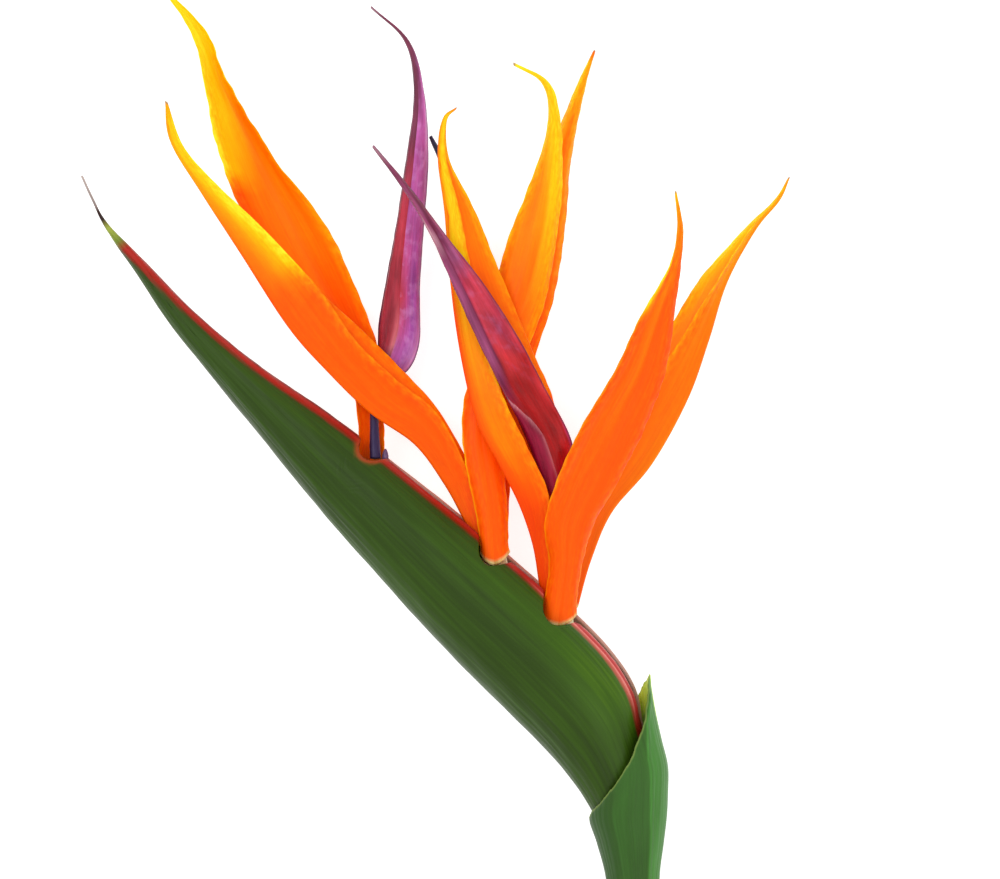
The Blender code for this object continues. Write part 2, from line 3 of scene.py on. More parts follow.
import bmesh
import bpy
import numpy as np
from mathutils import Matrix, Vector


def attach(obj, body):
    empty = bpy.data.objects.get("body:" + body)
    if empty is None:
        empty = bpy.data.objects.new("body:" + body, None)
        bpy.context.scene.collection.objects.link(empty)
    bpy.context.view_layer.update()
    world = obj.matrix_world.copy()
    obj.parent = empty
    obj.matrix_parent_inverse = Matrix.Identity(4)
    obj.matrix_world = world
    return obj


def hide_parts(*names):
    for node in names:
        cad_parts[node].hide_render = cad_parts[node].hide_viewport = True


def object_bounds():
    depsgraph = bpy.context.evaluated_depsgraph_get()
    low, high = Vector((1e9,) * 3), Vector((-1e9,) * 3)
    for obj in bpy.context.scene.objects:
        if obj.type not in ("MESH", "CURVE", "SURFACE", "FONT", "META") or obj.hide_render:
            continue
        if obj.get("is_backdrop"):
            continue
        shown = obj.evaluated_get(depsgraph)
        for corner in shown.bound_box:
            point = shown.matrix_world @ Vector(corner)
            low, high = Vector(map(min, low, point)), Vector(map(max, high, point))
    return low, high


# %% [markdown]
# # A cut bird of paradise flower (Strelitzia reginae)
# The flower head is a long folded bract, the spathe, held sideways on its stalk like the head
# of a bird. Flowers rise from the slit along its top, each with three stiff orange sepals and
# a blue-violet, arrow-shaped pair of fused petals. The cut stem lies on its side, so we look
# straight down on it. We start from the CAD frame: it is the size that everything must keep.

# %% Load the frame and keep its box
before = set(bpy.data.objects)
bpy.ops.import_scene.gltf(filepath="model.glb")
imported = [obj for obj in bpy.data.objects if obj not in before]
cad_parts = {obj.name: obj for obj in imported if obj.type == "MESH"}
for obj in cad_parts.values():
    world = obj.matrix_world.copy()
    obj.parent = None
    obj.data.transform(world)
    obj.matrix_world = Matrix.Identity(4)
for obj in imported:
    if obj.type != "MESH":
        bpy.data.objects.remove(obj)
cad_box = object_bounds()
MM = 0.001
span = [(high - low) / MM for low, high in zip(*cad_box)]
print("CAD box in mm:", [round(side, 1) for side in span])

# %% [markdown]
# All the stations below are in millimetres from a point in the middle of the flower head, which
# is easier to think in than the frame's own origin. The stem's cut end is a place both know:
# the middle of its ring of points in the frame gives the shift between the two.

# %% Find where the head lies in the frame
STEM_END = np.array((32.4, -182.0, 5.0))
stem_points = np.array([v.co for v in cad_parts["scape"].data.vertices]) / MM
lowest = stem_points[:, 1].min()
end_ring = np.unique(np.round(stem_points[stem_points[:, 1] < lowest + 0.5], 3), axis=0)
HEAD = end_ring.mean(axis=0) - STEM_END
HEAD[2] = 0.0
print("head middle in the frame, mm:", HEAD.round(2))

# %% [markdown]
# ## Light, floor and camera
# A flower like this is usually shown on a white sheet under a big soft light. A bright even
# surround does most of the work. One wide panel from the upper left gives the folds a lit and a
# shaded side, and a weaker one fills in from the lower right. The camera is far away with a long
# lens, so the stem hardly tapers.

# %% One function for colours
def linear(hex_colour):
    """An sRGB hex colour as the linear red, green, blue and alpha that shaders use."""
    parts = [int(hex_colour[k : k + 2], 16) / 255 for k in (1, 3, 5)]
    return (*[p / 12.92 if p <= 0.04045 else ((p + 0.055) / 1.055) ** 2.4 for p in parts], 1.0)


PAPER_DARK, PAPER_LIGHT = "#C4C4C3", "#C8C8C8"
print("floor paper in linear light:", [round(c, 3) for c in linear(PAPER_LIGHT)[:3]])

# %% One function for nodes
def add(tree, kind, links=(), stops=(), **settings):
    """Adds a shader node, sets it, fills its ramp and links or sets its inputs."""
    node = tree.nodes.new("ShaderNode" + kind)
    for key, value in settings.items():
        setattr(node, key, value)
    for key, value in dict(links).items():
        if isinstance(value, bpy.types.NodeSocket):
            tree.links.new(value, node.inputs[key])
        else:
            node.inputs[key].default_value = value
    for k, (place, hex_colour) in enumerate(stops):
        ramp = node.color_ramp.elements
        stop = ramp[k] if k < 2 else ramp.new(place)
        stop.position = place
        stop.color = linear(hex_colour)
    return node


def new_finish(name, roughness, **sockets):
    """A material with a Principled shader whose constants sit on its own sockets."""
    material = bpy.data.materials.new(name)
    material.use_nodes = True
    shader = material.node_tree.nodes["Principled BSDF"]
    shader.inputs["Roughness"].default_value = roughness
    for key, value in sockets.items():
        shader.inputs[key.replace("_", " ")].default_value = value
    return material, material.node_tree, shader


def dress(tree, shader, colour, height, strength, depth):
    """Joins a colour and a relief, of a strength and a depth in metres, to the shader."""
    tree.links.new(colour, shader.inputs["Base Color"])
    bump = add(tree, "Bump", {"Strength": strength, "Distance": depth, "Height": height})
    tree.links.new(bump.outputs["Normal"], shader.inputs["Normal"])


print("helpers ready: add, new_finish and dress")

# %% One function that turns a bmesh into an object
scene = bpy.context.scene


def as_object(name, work, finishes):
    """An object of the scene made from a bmesh, with its finishes."""
    mesh = bpy.data.meshes.new(name)
    work.to_mesh(mesh)
    work.free()
    made = bpy.data.objects.new(name, mesh)
    scene.collection.objects.link(made)
    for finish in finishes:
        made.data.materials.append(finish)
    return made


def hand_over(piece, node):
    """The piece rides on the flower's one body and takes the place of a CAD node."""
    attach(piece, "root")
    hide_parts(node)


print("objects go into", scene.collection.name)

# %% Floor of matt white paper
paper, tree, shader = new_finish("matt_white_paper", 0.9, IOR=1.45)
where = add(tree, "TexCoord").outputs["Object"]
# Paper fibres are far finer than shows here, so the mottling is drawn 4 mm wide.
MOTTLES_PER_MM = 0.25
mottle = add(tree, "TexNoise", {"Vector": where, "Scale": MOTTLES_PER_MM / MM, "Detail": 2.0})
tint = add(tree, "ValToRGB", {"Fac": mottle.outputs["Fac"]}, [(0.3, PAPER_DARK), (0.7, PAPER_LIGHT)])
tree.links.new(tint.outputs["Color"], shader.inputs["Base Color"])
# The sheet lies on a light table, which lifts its shadows.
shader.inputs["Emission Color"].default_value = (1, 1, 1, 1)
shader.inputs["Emission Strength"].default_value = 0.78
FLOOR_HALF, FLOOR_GAP = 3.0, 0.2 * MM
work = bmesh.new()
bmesh.ops.create_grid(work, x_segments=1, y_segments=1, size=FLOOR_HALF)
bmesh.ops.translate(work, verts=work.verts, vec=(0, 0, -FLOOR_GAP))
floor = as_object("floor", work, (paper,))
floor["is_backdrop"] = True
print("floor of", 2 * FLOOR_HALF, "m, just under the flower")

# %% World, lights and camera
scene.view_settings.view_transform = "Standard"
world = bpy.data.worlds.new("soft_room")
world.use_nodes = True
world.node_tree.nodes["Background"].inputs["Color"].default_value = (1, 1, 1, 1)
world.node_tree.nodes["Background"].inputs["Strength"].default_value = 0.84
scene.world = world
# The lights and the camera aim at the head, about halfway up its depth.
AIM_HEIGHT = 12.0
middle = np.array((HEAD[0], HEAD[1], AIM_HEIGHT)) * MM


def panel(name, place, side, watts):
    """A square soft light at a place, facing the flower head, sizes in metres."""
    light = bpy.data.lights.new(name, "AREA")
    light.size = side
    light.energy = watts
    obj = bpy.data.objects.new(name, light)
    obj.location = place
    away = obj.location - type(obj.location)(middle)
    obj.rotation_euler = away.to_track_quat("Z", "Y").to_euler()
    scene.collection.objects.link(obj)


panel("key_panel", (-0.75, 0.65, 1.35), 0.9, 9.0)
panel("fill_panel", (0.9, -0.5, 1.6), 1.4, 6.0)

CAMERA_HEIGHT = 1.2342
lens = bpy.data.cameras.new("camera")
lens.lens = 200.0
lens.sensor_width = 36.0
lens.clip_end = 20.0
camera = bpy.data.objects.new("camera", lens)
camera.location = (middle[0], middle[1], CAMERA_HEIGHT)
scene.collection.objects.link(camera)
scene.camera = camera
print("camera at", [round(c, 3) for c in camera.location])

# %% [markdown]
# ## From stations to a leaf
# Every leafy part here is a sheet folded along a keel: a few cross-sections say where its two
# margins and its fold run, and a smooth curve joins them. We could push a sheet about by hand,
# but stations are easy to read and to correct. The sheet starts as Blender's flat grid, and
# each of its points is carried to its place, so the faces never have to be worked out.

# %% Smooth curves and gentle unevenness
def along(stations, steps):
    """Points on a smooth curve through the stations, at positions from 0 to 1."""
    stations = np.asarray(stations, float)
    ends = (2 * stations[0] - stations[1], 2 * stations[-1] - stations[-2])
    padded = np.vstack([ends[0], stations, ends[1]])
    place = np.clip(steps, 0, 1) * (len(stations) - 1)
    index = np.minimum(place.astype(int), len(stations) - 2)
    t = (place - index)[:, None]
    p0, p1, p2, p3 = (padded[index + k] for k in range(4))
    return 0.5 * (
        2 * p1
        + (p2 - p0) * t
        + (2 * p0 - 5 * p1 + 4 * p2 - p3) * t**2
        + (3 * p1 - p0 - 3 * p2 + p3) * t**3
    )


def wobble(x, seed):
    """A smooth uneven wave between about -1 and 1, the same each time for a seed."""
    waves = [np.sin(x * 2.3**k + seed * (1.7 + k)) / 1.5**k for k in range(4)]
    return sum(waves) / 2.2


def ease(x, low, high):
    """0 below low, 1 above high and smooth between."""
    t = np.clip((x - low) / (high - low), 0, 1)
    return t * t * (3 - 2 * t)


print("wave samples:", wobble(np.array([0.0, 1.0, 2.0]), 1.0).round(2))

# %% A flat grid carried to its place
def flat_grid(rows, cols):
    """A bmesh grid with its points as u from 0 to 1 (base to tip) and v from -1 to 1."""
    work = bmesh.new()
    bmesh.ops.create_grid(work, x_segments=cols, y_segments=rows, size=1.0)
    flat = np.array([v.co for v in work.verts])
    order = np.lexsort((flat[:, 0].round(6), flat[:, 1].round(6)))
    return work, (flat[:, 1] + 1) / 2, flat[:, 0], order


def unit(vectors):
    return vectors / np.maximum(np.linalg.norm(vectors, axis=-1, keepdims=True), 1e-9)


def normals_of(grid):
    """Unit normals of rows and columns of points."""
    return unit(np.cross(np.gradient(grid, axis=1), np.gradient(grid, axis=0)))


def from_side(grid):
    """Distance over the surface from the v = -1 margin, in mm."""
    steps = np.linalg.norm(np.diff(grid, axis=1), axis=2)
    return np.concatenate([np.zeros((len(grid), 1)), np.cumsum(steps, axis=1)], axis=1)


def from_base(grid):
    """Distance along the middle of the surface from the base, in mm."""
    spine = grid[:, grid.shape[1] // 2]
    steps = np.linalg.norm(np.diff(spine, axis=0), axis=1)
    return np.concatenate([[0.0], np.cumsum(steps)])[:, None]


def by_point(rows, order, shape):
    """Values laid out by row and column, back in the order of the mesh's points."""
    values = np.empty(len(order))
    values[order] = np.broadcast_to(rows, shape[:2]).ravel()
    return values


def folded(rails, u, v, softness):
    """Points of a sheet folded softly along its keel, between its two margins."""
    near, fold, far = (along(rails[:, k], u) for k in range(3))
    v = v[:, None]
    soft = np.asarray(softness).reshape(-1, 1)
    rest = (np.sqrt(1 + soft**2) - 1) / 2
    to_near = (np.sqrt(v**2 + soft**2) - v) / 2 - rest
    to_far = (np.sqrt(v**2 + soft**2) + v) / 2 - rest
    pull = soft / 2 - rest
    corner = (fold - pull * (near + far)) / (1 - 2 * pull)
    return corner + (near - corner) * to_near + (far - corner) * to_far


print("grid helpers ready")

# %% Turn a shaped grid into a piece with a wall
# UV 1.0 is 100 mm, along the piece in U and across it in V, so that a pattern can be given its
# real size and still run together at the tip, as the veins of a leaf do.
UV_UNIT = 100.0


def lay_chart(work, length, across):
    """Smooth faces, and a UV map in real size from a length and a width in mm."""
    uv = work.loops.layers.uv.new("along_across")
    work.verts.index_update()
    for face in work.faces:
        face.smooth = True
        for loop in face.loops:
            k = loop.vert.index
            loop[uv].uv = (length[k] / UV_UNIT, across[k] / UV_UNIT)


def settle(node, work, order, grid, v, values, wall, thin, finish, rounds=1):
    """Moves the grid's points to their places, stores the values and adds a wall in mm."""
    points = np.empty((len(order), 3))
    points[order] = grid.reshape(-1, 3)
    for vert, point in zip(work.verts, (points + HEAD) * MM):
        vert.co = point
    kinds = work.verts.layers
    layers = {
        key: (kinds.float_color if np.ndim(values[key]) == 2 else kinds.float).new(key)
        for key in values
    }
    shell = work.verts.layers.deform.verify()
    for k, vert in enumerate(work.verts):
        for key, layer in layers.items():
            vert[layer] = values[key][k] if np.ndim(values[key]) == 2 else float(values[key][k])
        vert[shell][0] = float(thin[k])
    half_width = from_side(grid)[:, -1].max() / 2
    lay_chart(work, by_point(from_base(grid), order, grid.shape), v * half_width)
    bmesh.ops.remove_doubles(work, verts=work.verts, dist=1e-7)
    piece = as_object(node + "_look", work, (finish,))
    piece.vertex_groups.new(name="wall")
    skin = piece.modifiers.new("wall", "SOLIDIFY")
    skin.thickness = wall * MM
    skin.offset = 0.0
    skin.vertex_group = "wall"
    if rounds:
        round_off = piece.modifiers.new("round_off", "SUBSURF")
        round_off.levels = round_off.render_levels = rounds
    hand_over(piece, node)
    return piece


print("settle ready")

# %% [markdown]
# ## The skin of a sepal
# A sepal is stiff and waxy, orange from carotene, and it is painted unevenly: deep orange by
# the keel and the base, gold and lemon along the margins and towards the tip. The colour could
# be one ramp along the length, but the bands at the two margins differ from sepal to sepal.
# So each sepal gets a small chart of tones, read along and across it, and the shader breaks the
# edges of the bands with fibres and blotches.

# %% Finish of the sepals
# Living petal tissue: waxy cells give it a broad soft gloss, IOR about 1.45, and light gets in
# a little way. Fibres run from base to tip about 0.5 mm apart.
SEPAL_TONES = [
    (0.00, "#F24400"),
    (0.20, "#FC5900"),
    (0.40, "#FF7700"),
    (0.60, "#FF9B00"),
    (0.80, "#FFC004"),
    (1.00, "#FFE424"),
]


def fibres(tree, across_mm, along_mm, detail=2.0):
    """Noise drawn out along the piece, on its own map: the size of one streak in mm."""
    chart = add(tree, "UVMap", uv_map="along_across").outputs["UV"]
    scale = (UV_UNIT / along_mm, UV_UNIT / across_mm, 1.0)
    drawn = add(tree, "Mapping", {"Vector": chart, "Scale": scale}).outputs["Vector"]
    noise = add(tree, "TexNoise", {"Vector": drawn, "Scale": 1.0, "Detail": detail})
    return noise.outputs["Fac"]


def value_of(tree, name):
    return add(tree, "Attribute", attribute_name=name).outputs["Fac"]


# Noise mostly lies between 0.3 and 0.7. Inputs 1 to 4 of a Map Range are the span that it
# reads and the span that it gives.
def varied(tree, value, *swings):
    """A value made uneven by noises, each with how far it swings the value either way."""
    for noise, reach in swings:
        swing = add(tree, "MapRange", {0: noise, 1: 0.3, 2: 0.7, 3: -reach, 4: reach}).outputs[0]
        value = add(tree, "Math", {0: value, 1: swing}, operation="ADD").outputs[0]
    return value


sepal_skin, tree, shader = new_finish(
    "waxy_orange_sepal", 0.42, IOR=1.45, Specular_IOR_Level=0.10,
    Subsurface_Weight=0.1, Subsurface_Radius=(1.0, 0.35, 0.08), Subsurface_Scale=0.0015,
)
fine = fibres(tree, 0.5, 14.0)
broad = fibres(tree, 2.6, 30.0, 3.0)
bitten = fibres(tree, 1.1, 1.8, 3.0)
mixed = varied(tree, value_of(tree, "tone"), (fine, 0.022), (broad, 0.04))
# The bands are torn most within the last millimetres before a margin.
torn = add(tree, "MapRange", {0: bitten, 1: 0.35, 2: 0.65, 3: -0.10, 4: 0.10}).outputs[0]
near_edge = value_of(tree, "edge_mm")
by_edge = add(tree, "MapRange", {0: near_edge, 1: 3.0, 2: 0.4, 3: 0.12, 4: 1.0}).outputs[0]
torn = add(tree, "Math", {0: torn, 1: by_edge}, operation="MULTIPLY").outputs[0]
mixed = add(tree, "Math", {0: mixed, 1: torn}, operation="ADD").outputs[0]
flesh = add(tree, "ValToRGB", {"Fac": mixed}, SEPAL_TONES).outputs["Color"]
shade = add(tree, "MapRange", {0: fine, 1: 0.25, 2: 0.75, 3: 0.955, 4: 1.015}).outputs[0]
flesh = add(tree, "VectorMath", {0: flesh, "Scale": shade}, operation="SCALE").outputs[0]
# The callus at the foot dries to cream and pale brown.
foot = add(tree, "MapRange", {0: value_of(tree, "foot"), 1: 0.35, 2: 0.65}).outputs[0]
dried = add(tree, "ValToRGB", {"Fac": broad}, [(0.35, "#C98A3C"), (0.6, "#F2D08A")]).outputs["Color"]
flesh = add(tree, "Mix", {"Factor": foot, 6: flesh, 7: dried}, data_type="RGBA").outputs[2]
# The last millimetres of the tip wither to a brownish hair.
dry = add(tree, "MapRange", {0: value_of(tree, "dry"), 1: 0.3, 2: 0.8}).outputs[0]
flesh = add(tree, "Mix", {"Factor": dry, 6: flesh, 7: linear("#A8845C")}, data_type="RGBA").outputs[2]
gloss = add(tree, "MapRange", {0: broad, 1: 0.3, 2: 0.7, 3: 0.36, 4: 0.5}).outputs[0]
tree.links.new(gloss, shader.inputs["Roughness"])
relief = add(tree, "Math", {0: fine, 1: broad}, operation="ADD").outputs[0]
dress(tree, shader, flesh, relief, 0.22, 0.2 * MM)
print("sepal finish has", len(tree.nodes), "nodes")

# %% [markdown]
# ## A sepal
# The three outer petals of a flower are sepals: lance-shaped, creased along the keel, thicker
# in the middle than at the margins, with a slightly frilled edge and a short flared foot.
# The chart of tones is written as rows of digits from 0, deep orange, to 5, lemon. The first
# number of a row is how far up the sepal it counts, and the seven digits go across it.

# %% Make one sepal from its stations and its tones
SEPAL_ROWS, SEPAL_COLS = 120, 28
SEPAL_WALL = 0.95
WITHERED_FROM = 0.985
TONE_PLACES = np.array((-1.0, -0.85, -0.45, -0.05, 0.12, 0.7, 1.0))


def chart_at(chart, u, v):
    """The chart's number at each place, blended between its rows and its digits."""
    rows = np.array([row[0] for row in chart])
    digits = np.array([[float(d) for d in row[1]] for row in chart])
    lengthwise = [np.interp(u, rows, digits[:, k]) for k in range(len(TONE_PLACES))]
    left = np.clip(np.searchsorted(TONE_PLACES, v, side="right") - 1, 0, len(TONE_PLACES) - 2)
    share = (v - TONE_PLACES[left]) / (TONE_PLACES[left + 1] - TONE_PLACES[left])
    table = np.array(lengthwise)
    pick = np.arange(len(u))
    return table[left, pick] * (1 - share) + table[left + 1, pick] * share


def make_sepal(node, rails, chart, seed, frill=0.35, belly=0.5, callus=1.0):
    """A sepal that takes the place of a CAD node."""
    rails = np.asarray(rails, float)
    work, u, v, order = flat_grid(SEPAL_ROWS, SEPAL_COLS)
    softness = 0.22 + 0.5 * np.exp(-u / 0.06) + 0.3 * ease(u, 0.9, 1.0)
    points = folded(rails, u, v, softness)
    shape = (SEPAL_ROWS + 1, SEPAL_COLS + 1, 3)
    grid = points[order].reshape(shape)
    up = normals_of(grid)
    reach = from_side(grid)
    edge = np.minimum(reach, reach[:, -1:] - reach)
    uu, vv = u[order].reshape(shape[:2]), v[order].reshape(shape[:2])
    length = from_base(grid)
    # Each half bellies out a little, the margins wave, and long shallow channels follow it.
    half = reach[:, -1:] / 2
    lift = belly * np.sin(math.pi * np.abs(vv)) * np.minimum(half / 6, 1) * np.sign(up[..., 2:].mean())
    lift = lift + 0.10 * wobble(vv * 5 + seed, seed) * np.minimum(half / 5, 1)
    wave = wobble(length * 0.22 + 3 * np.sign(vv), seed) * ease(uu, 0.03, 0.2) * ease(1 - uu, 0.0, 0.15)
    lift = lift + frill * wave * np.exp(-edge / 1.5) * np.minimum(half / 4, 1)
    grid = grid + up * lift[..., None]
    across = unit(grid[:, -1] - grid[:, 0])[:, None, :]
    nibble = wobble(length * 1.3 + 5 * np.sign(vv), seed + 2) * np.exp(-edge / 0.8)
    grid = grid + across * (0.16 * np.sign(vv) * nibble * np.minimum(half / 3, 1))[..., None]
    # The foot flares to the callus that it broke from.
    flare = np.exp(-length / 1.4)
    centre = grid.mean(axis=1, keepdims=True)
    grid = grid + (grid - centre) * (0.16 * flare)[..., None]
    values = {
        "tone": chart_at(chart, u, v) / 5,
        "edge_mm": by_point(edge, order, shape),
        "foot": by_point(np.exp(-length / 1.3), order, shape) * callus,
        "dry": ease(u, WITHERED_FROM, 1.0),
    }
    thin = (0.30 + 0.70 * ease(values["edge_mm"], 0.0, 2.2)) * (1 - 0.55 * u**3)
    return settle(
        node, work, order, grid, v, values, SEPAL_WALL, thin, sepal_skin
    )


print("tones across are read at", TONE_PLACES)

# %% [markdown]
# ## The sepals of the left flower
# One keeled sepal shows, open towards us, with a lemon band along its left margin. A row of
# stations is one cross-section: left or near margin, fold, right or far margin.

# %% Left sepal
LEFT_SEPAL = (
    ((-30.9, -3.4, 10.6), (-28.4, -4.9, 9.2), (-25.7, -4.0, 10.6)),
    ((-31.3, 3.6, 9.4), (-28.6, 3.2, 7.8), (-25.5, 2.4, 9.4)),
    ((-34.0, 14.5, 7.6), (-30.3, 13.5, 5.6), (-26.5, 12.2, 7.2)),
    ((-43.0, 27.5, 6.4), (-35.5, 25.5, 3.2), (-27.9, 23.4, 5.6)),
    ((-55.3, 46.6, 5.4), (-46.3, 45.6, 1.2), (-37.4, 45.4, 5.6)),
    ((-62.2, 63.0, 4.8), (-54.2, 62.4, 0.5), (-50.3, 63.0, 4.6)),
    ((-65.3, 78.0, 4.2), (-61.2, 77.6, 1.3), (-59.9, 78.2, 3.8)),
    ((-68.6, 90.4, 3.8), (-66.6, 90.2, 1.9), (-64.9, 90.2, 3.4)),
    ((-74.7, 99.6, 3.0), (-74.5, 100.0, 2.6), (-74.1, 99.8, 3.0)),
)
LEFT_TONES = (
    (0.00, "1111222"),
    (0.10, "1111112"),
    (0.25, "3211111"),
    (0.38, "2122112"),
    (0.50, "1122223"),
    (0.56, "2122223"),
    (0.60, "5432223"),
    (0.70, "5443223"),
    (0.76, "5443334"),
    (0.86, "5554444"),
    (1.00, "5555555"),
)
made = make_sepal("left_sepal", LEFT_SEPAL, LEFT_TONES, 1.0, frill=0.5, belly=-0.5, callus=0.5)
print("left sepal of", len(made.data.polygons), "quads before its wall")

# %% [markdown]
# ## The sepals of the middle flower
# The keeled sepal leans far to the left over the left flower, and the other two stand up
# behind it. They are told apart by where their gold lies: along the near margin of the keeled
# one, and down the folded right edge of the front one.

# %% Middle keeled sepal
MIDDLE_KEELED_SEPAL = (
    ((-3.4, -24.0, 12.5), (-4.9, -23.2, 11.2), (-3.1, -24.0, 9.9)),
    ((-4.6, -16.6, 12.5), (-7.7, -17.6, 11.4), (-4.4, -16.8, 9.9)),
    ((-6.8, -7.4, 11.9), (-11.9, -10.0, 11.3), (-5.9, -7.4, 9.7)),
    ((-13.6, 5.6, 13.5), (-18.5, -1.0, 12.2), (-13.3, 6.2, 10.2)),
    ((-22.6, 13.1, 15.2), (-28.4, 6.0, 13.0), (-22.3, 16.2, 11.4)),
    ((-31.7, 21.9, 15.6), (-37.9, 15.2, 13.1), (-30.5, 24.3, 11.4)),
    ((-39.6, 33.0, 15.2), (-46.5, 25.0, 12.8), (-39.9, 32.9, 11.2)),
    ((-51.0, 45.4, 14.4), (-57.0, 41.2, 12.3), (-51.4, 45.2, 10.8)),
    ((-61.0, 54.9, 13.4), (-65.2, 53.8, 11.9), (-61.3, 54.8, 10.6)),
    ((-69.4, 64.2, 12.2), (-72.4, 65.6, 11.5), (-69.6, 64.2, 10.6)),
    ((-73.2, 74.3, 11.5), (-73.7, 74.6, 11.3), (-73.2, 74.3, 11.0)),
)
MIDDLE_KEELED_TONES = (
    (0.00, "2111122"),
    (0.15, "2111112"),
    (0.45, "2111112"),
    (0.60, "2111112"),
    (0.63, "3211112"),
    (0.66, "5421112"),
    (0.76, "5532112"),
    (0.86, "5443323"),
    (0.95, "4443333"),
    (1.00, "3333333"),
)
made = make_sepal(
    "middle_keeled_sepal", MIDDLE_KEELED_SEPAL, MIDDLE_KEELED_TONES, 2.0, frill=0.35
)
print("middle keeled sepal of", len(made.data.polygons), "quads before its wall")

# %% Middle front sepal
MIDDLE_FRONT_SEPAL = (
    ((-4.0, -25.2, 14.3), (-1.3, -27.6, 15.7), (1.7, -25.0, 14.2)),
    ((-5.3, -16.4, 14.1), (-1.8, -16.5, 15.1), (1.7, -16.4, 13.4)),
    ((-7.4, -6.4, 13.4), (-3.5, -6.0, 14.1), (0.9, -6.4, 12.6)),
    ((-8.4, 5.0, 11.6), (-4.3, 5.0, 12.8), (-0.4, 4.6, 11.4)),
    ((-6.0, 17.0, 9.8), (-0.9, 17.5, 11.4), (4.8, 16.6, 10.2)),
    ((-1.9, 32.0, 8.4), (5.6, 31.6, 10.2), (10.1, 31.2, 8.8)),
    ((2.0, 45.0, 8.0), (9.2, 45.4, 10.0), (12.6, 45.4, 8.8)),
    ((7.2, 58.0, 8.0), (11.0, 57.8, 9.8), (13.7, 57.6, 8.6)),
    ((10.5, 69.8, 8.0), (11.8, 70.0, 9.2), (13.4, 70.0, 8.4)),
    ((9.4, 78.4, 8.0), (10.0, 78.9, 8.7), (10.9, 78.6, 8.3)),
    ((2.9, 82.6, 8.0), (2.9, 83.0, 8.1), (2.9, 83.3, 8.0)),
)
MIDDLE_FRONT_TONES = (
    (0.00, "4111112"),
    (0.15, "4111112"),
    (0.30, "4111112"),
    (0.42, "3111123"),
    (0.55, "3222333"),
    (0.68, "4323444"),
    (0.80, "5444444"),
    (0.90, "5444455"),
    (1.00, "5555555"),
)
made = make_sepal("middle_front_sepal", MIDDLE_FRONT_SEPAL, MIDDLE_FRONT_TONES, 3.0, frill=0.4)
print("middle front sepal of", len(made.data.polygons), "quads before its wall")

# %% Middle back sepal
MIDDLE_BACK_SEPAL = (
    ((-1.0, -25.2, 9.8), (0.7, -25.6, 9.5), (1.6, -24.8, 10.6)),
    ((-2.4, -10.0, 8.6), (0.6, -10.0, 8.3), (2.3, -10.0, 9.4)),
    ((-1.6, 4.0, 6.8), (2.2, 4.0, 6.6), (5.0, 4.0, 7.4)),
    ((1.4, 18.0, 4.4), (4.8, 18.0, 5.4), (7.7, 18.0, 5.0)),
    ((4.6, 32.0, 2.4), (8.6, 32.0, 4.2), (12.1, 32.0, 3.2)),
    ((6.8, 46.0, 1.2), (10.8, 46.0, 3.4), (14.3, 46.0, 1.9)),
    ((9.6, 60.0, 0.3), (12.8, 60.0, 2.8), (15.6, 60.4, 1.0)),
    ((14.3, 72.0, 0.3), (16.1, 72.0, 1.9), (17.6, 72.2, 0.8)),
    ((17.7, 80.0, 0.7), (18.5, 80.0, 1.4), (19.4, 80.2, 0.8)),
    ((20.7, 86.2, 0.8), (21.0, 86.5, 1.1), (21.2, 86.3, 0.8)),
)
MIDDLE_BACK_TONES = (
    (0.00, "2111112"),
    (0.40, "2221122"),
    (0.70, "3332233"),
    (0.85, "4443334"),
    (0.95, "4443334"),
    (1.00, "1111111"),
)
made = make_sepal("middle_back_sepal", MIDDLE_BACK_SEPAL, MIDDLE_BACK_TONES, 4.0, frill=0.25)
print("middle back sepal of", len(made.data.polygons), "quads before its wall")

# %% [markdown]
# ## The sepals of the right flower
# The keeled sepal crosses in front of the middle flower with its far half turned towards us,
# the front one arches over its own foot, and the back one leans away to the right.

# %% Right keeled sepal
RIGHT_KEELED_SEPAL = (
    ((11.3, -37.4, 13.4), (9.7, -37.2, 12.2), (11.6, -37.4, 10.6)),
    ((11.1, -30.5, 14.4), (8.8, -30.9, 12.9), (11.6, -30.5, 10.6)),
    ((10.4, -21.0, 16.2), (7.4, -23.0, 14.2), (12.4, -21.5, 11.4)),
    ((10.7, -12.0, 18.4), (4.4, -14.2, 16.0), (13.4, -11.6, 12.4)),
    ((6.2, -2.0, 20.2), (-0.2, -4.9, 17.4), (12.4, 2.0, 12.9)),
    ((1.8, 7.0, 20.0), (-5.0, 4.6, 17.6), (11.6, 9.4, 13.2)),
    ((-2.6, 19.0, 18.2), (-8.7, 20.2, 17.2), (6.6, 21.0, 13.2)),
    ((-5.8, 34.6, 17.4), (-10.7, 34.5, 16.6), (0.7, 35.2, 13.0)),
    ((-8.8, 50.2, 16.6), (-12.1, 50.4, 15.9), (-5.4, 50.2, 13.4)),
    ((-11.7, 61.4, 15.6), (-13.5, 61.6, 15.2), (-10.9, 60.9, 13.8)),
    ((-11.7, 69.8, 15.2), (-12.6, 70.2, 15.0), (-11.7, 69.6, 14.5)),
    ((-9.5, 72.6, 15.1), (-9.5, 73.0, 15.0), (-9.5, 72.7, 14.8)),
)
RIGHT_KEELED_TONES = (
    (0.00, "1000012"),
    (0.25, "2100001"),
    (0.38, "2220001"),
    (0.48, "3220012"),
    (0.58, "4330012"),
    (0.68, "3442223"),
    (0.84, "3442224"),
    (0.93, "4443333"),
    (1.00, "2222222"),
)
made = make_sepal("right_keeled_sepal", RIGHT_KEELED_SEPAL, RIGHT_KEELED_TONES, 5.0, frill=0.35)
print("right keeled sepal of", len(made.data.polygons), "quads before its wall")

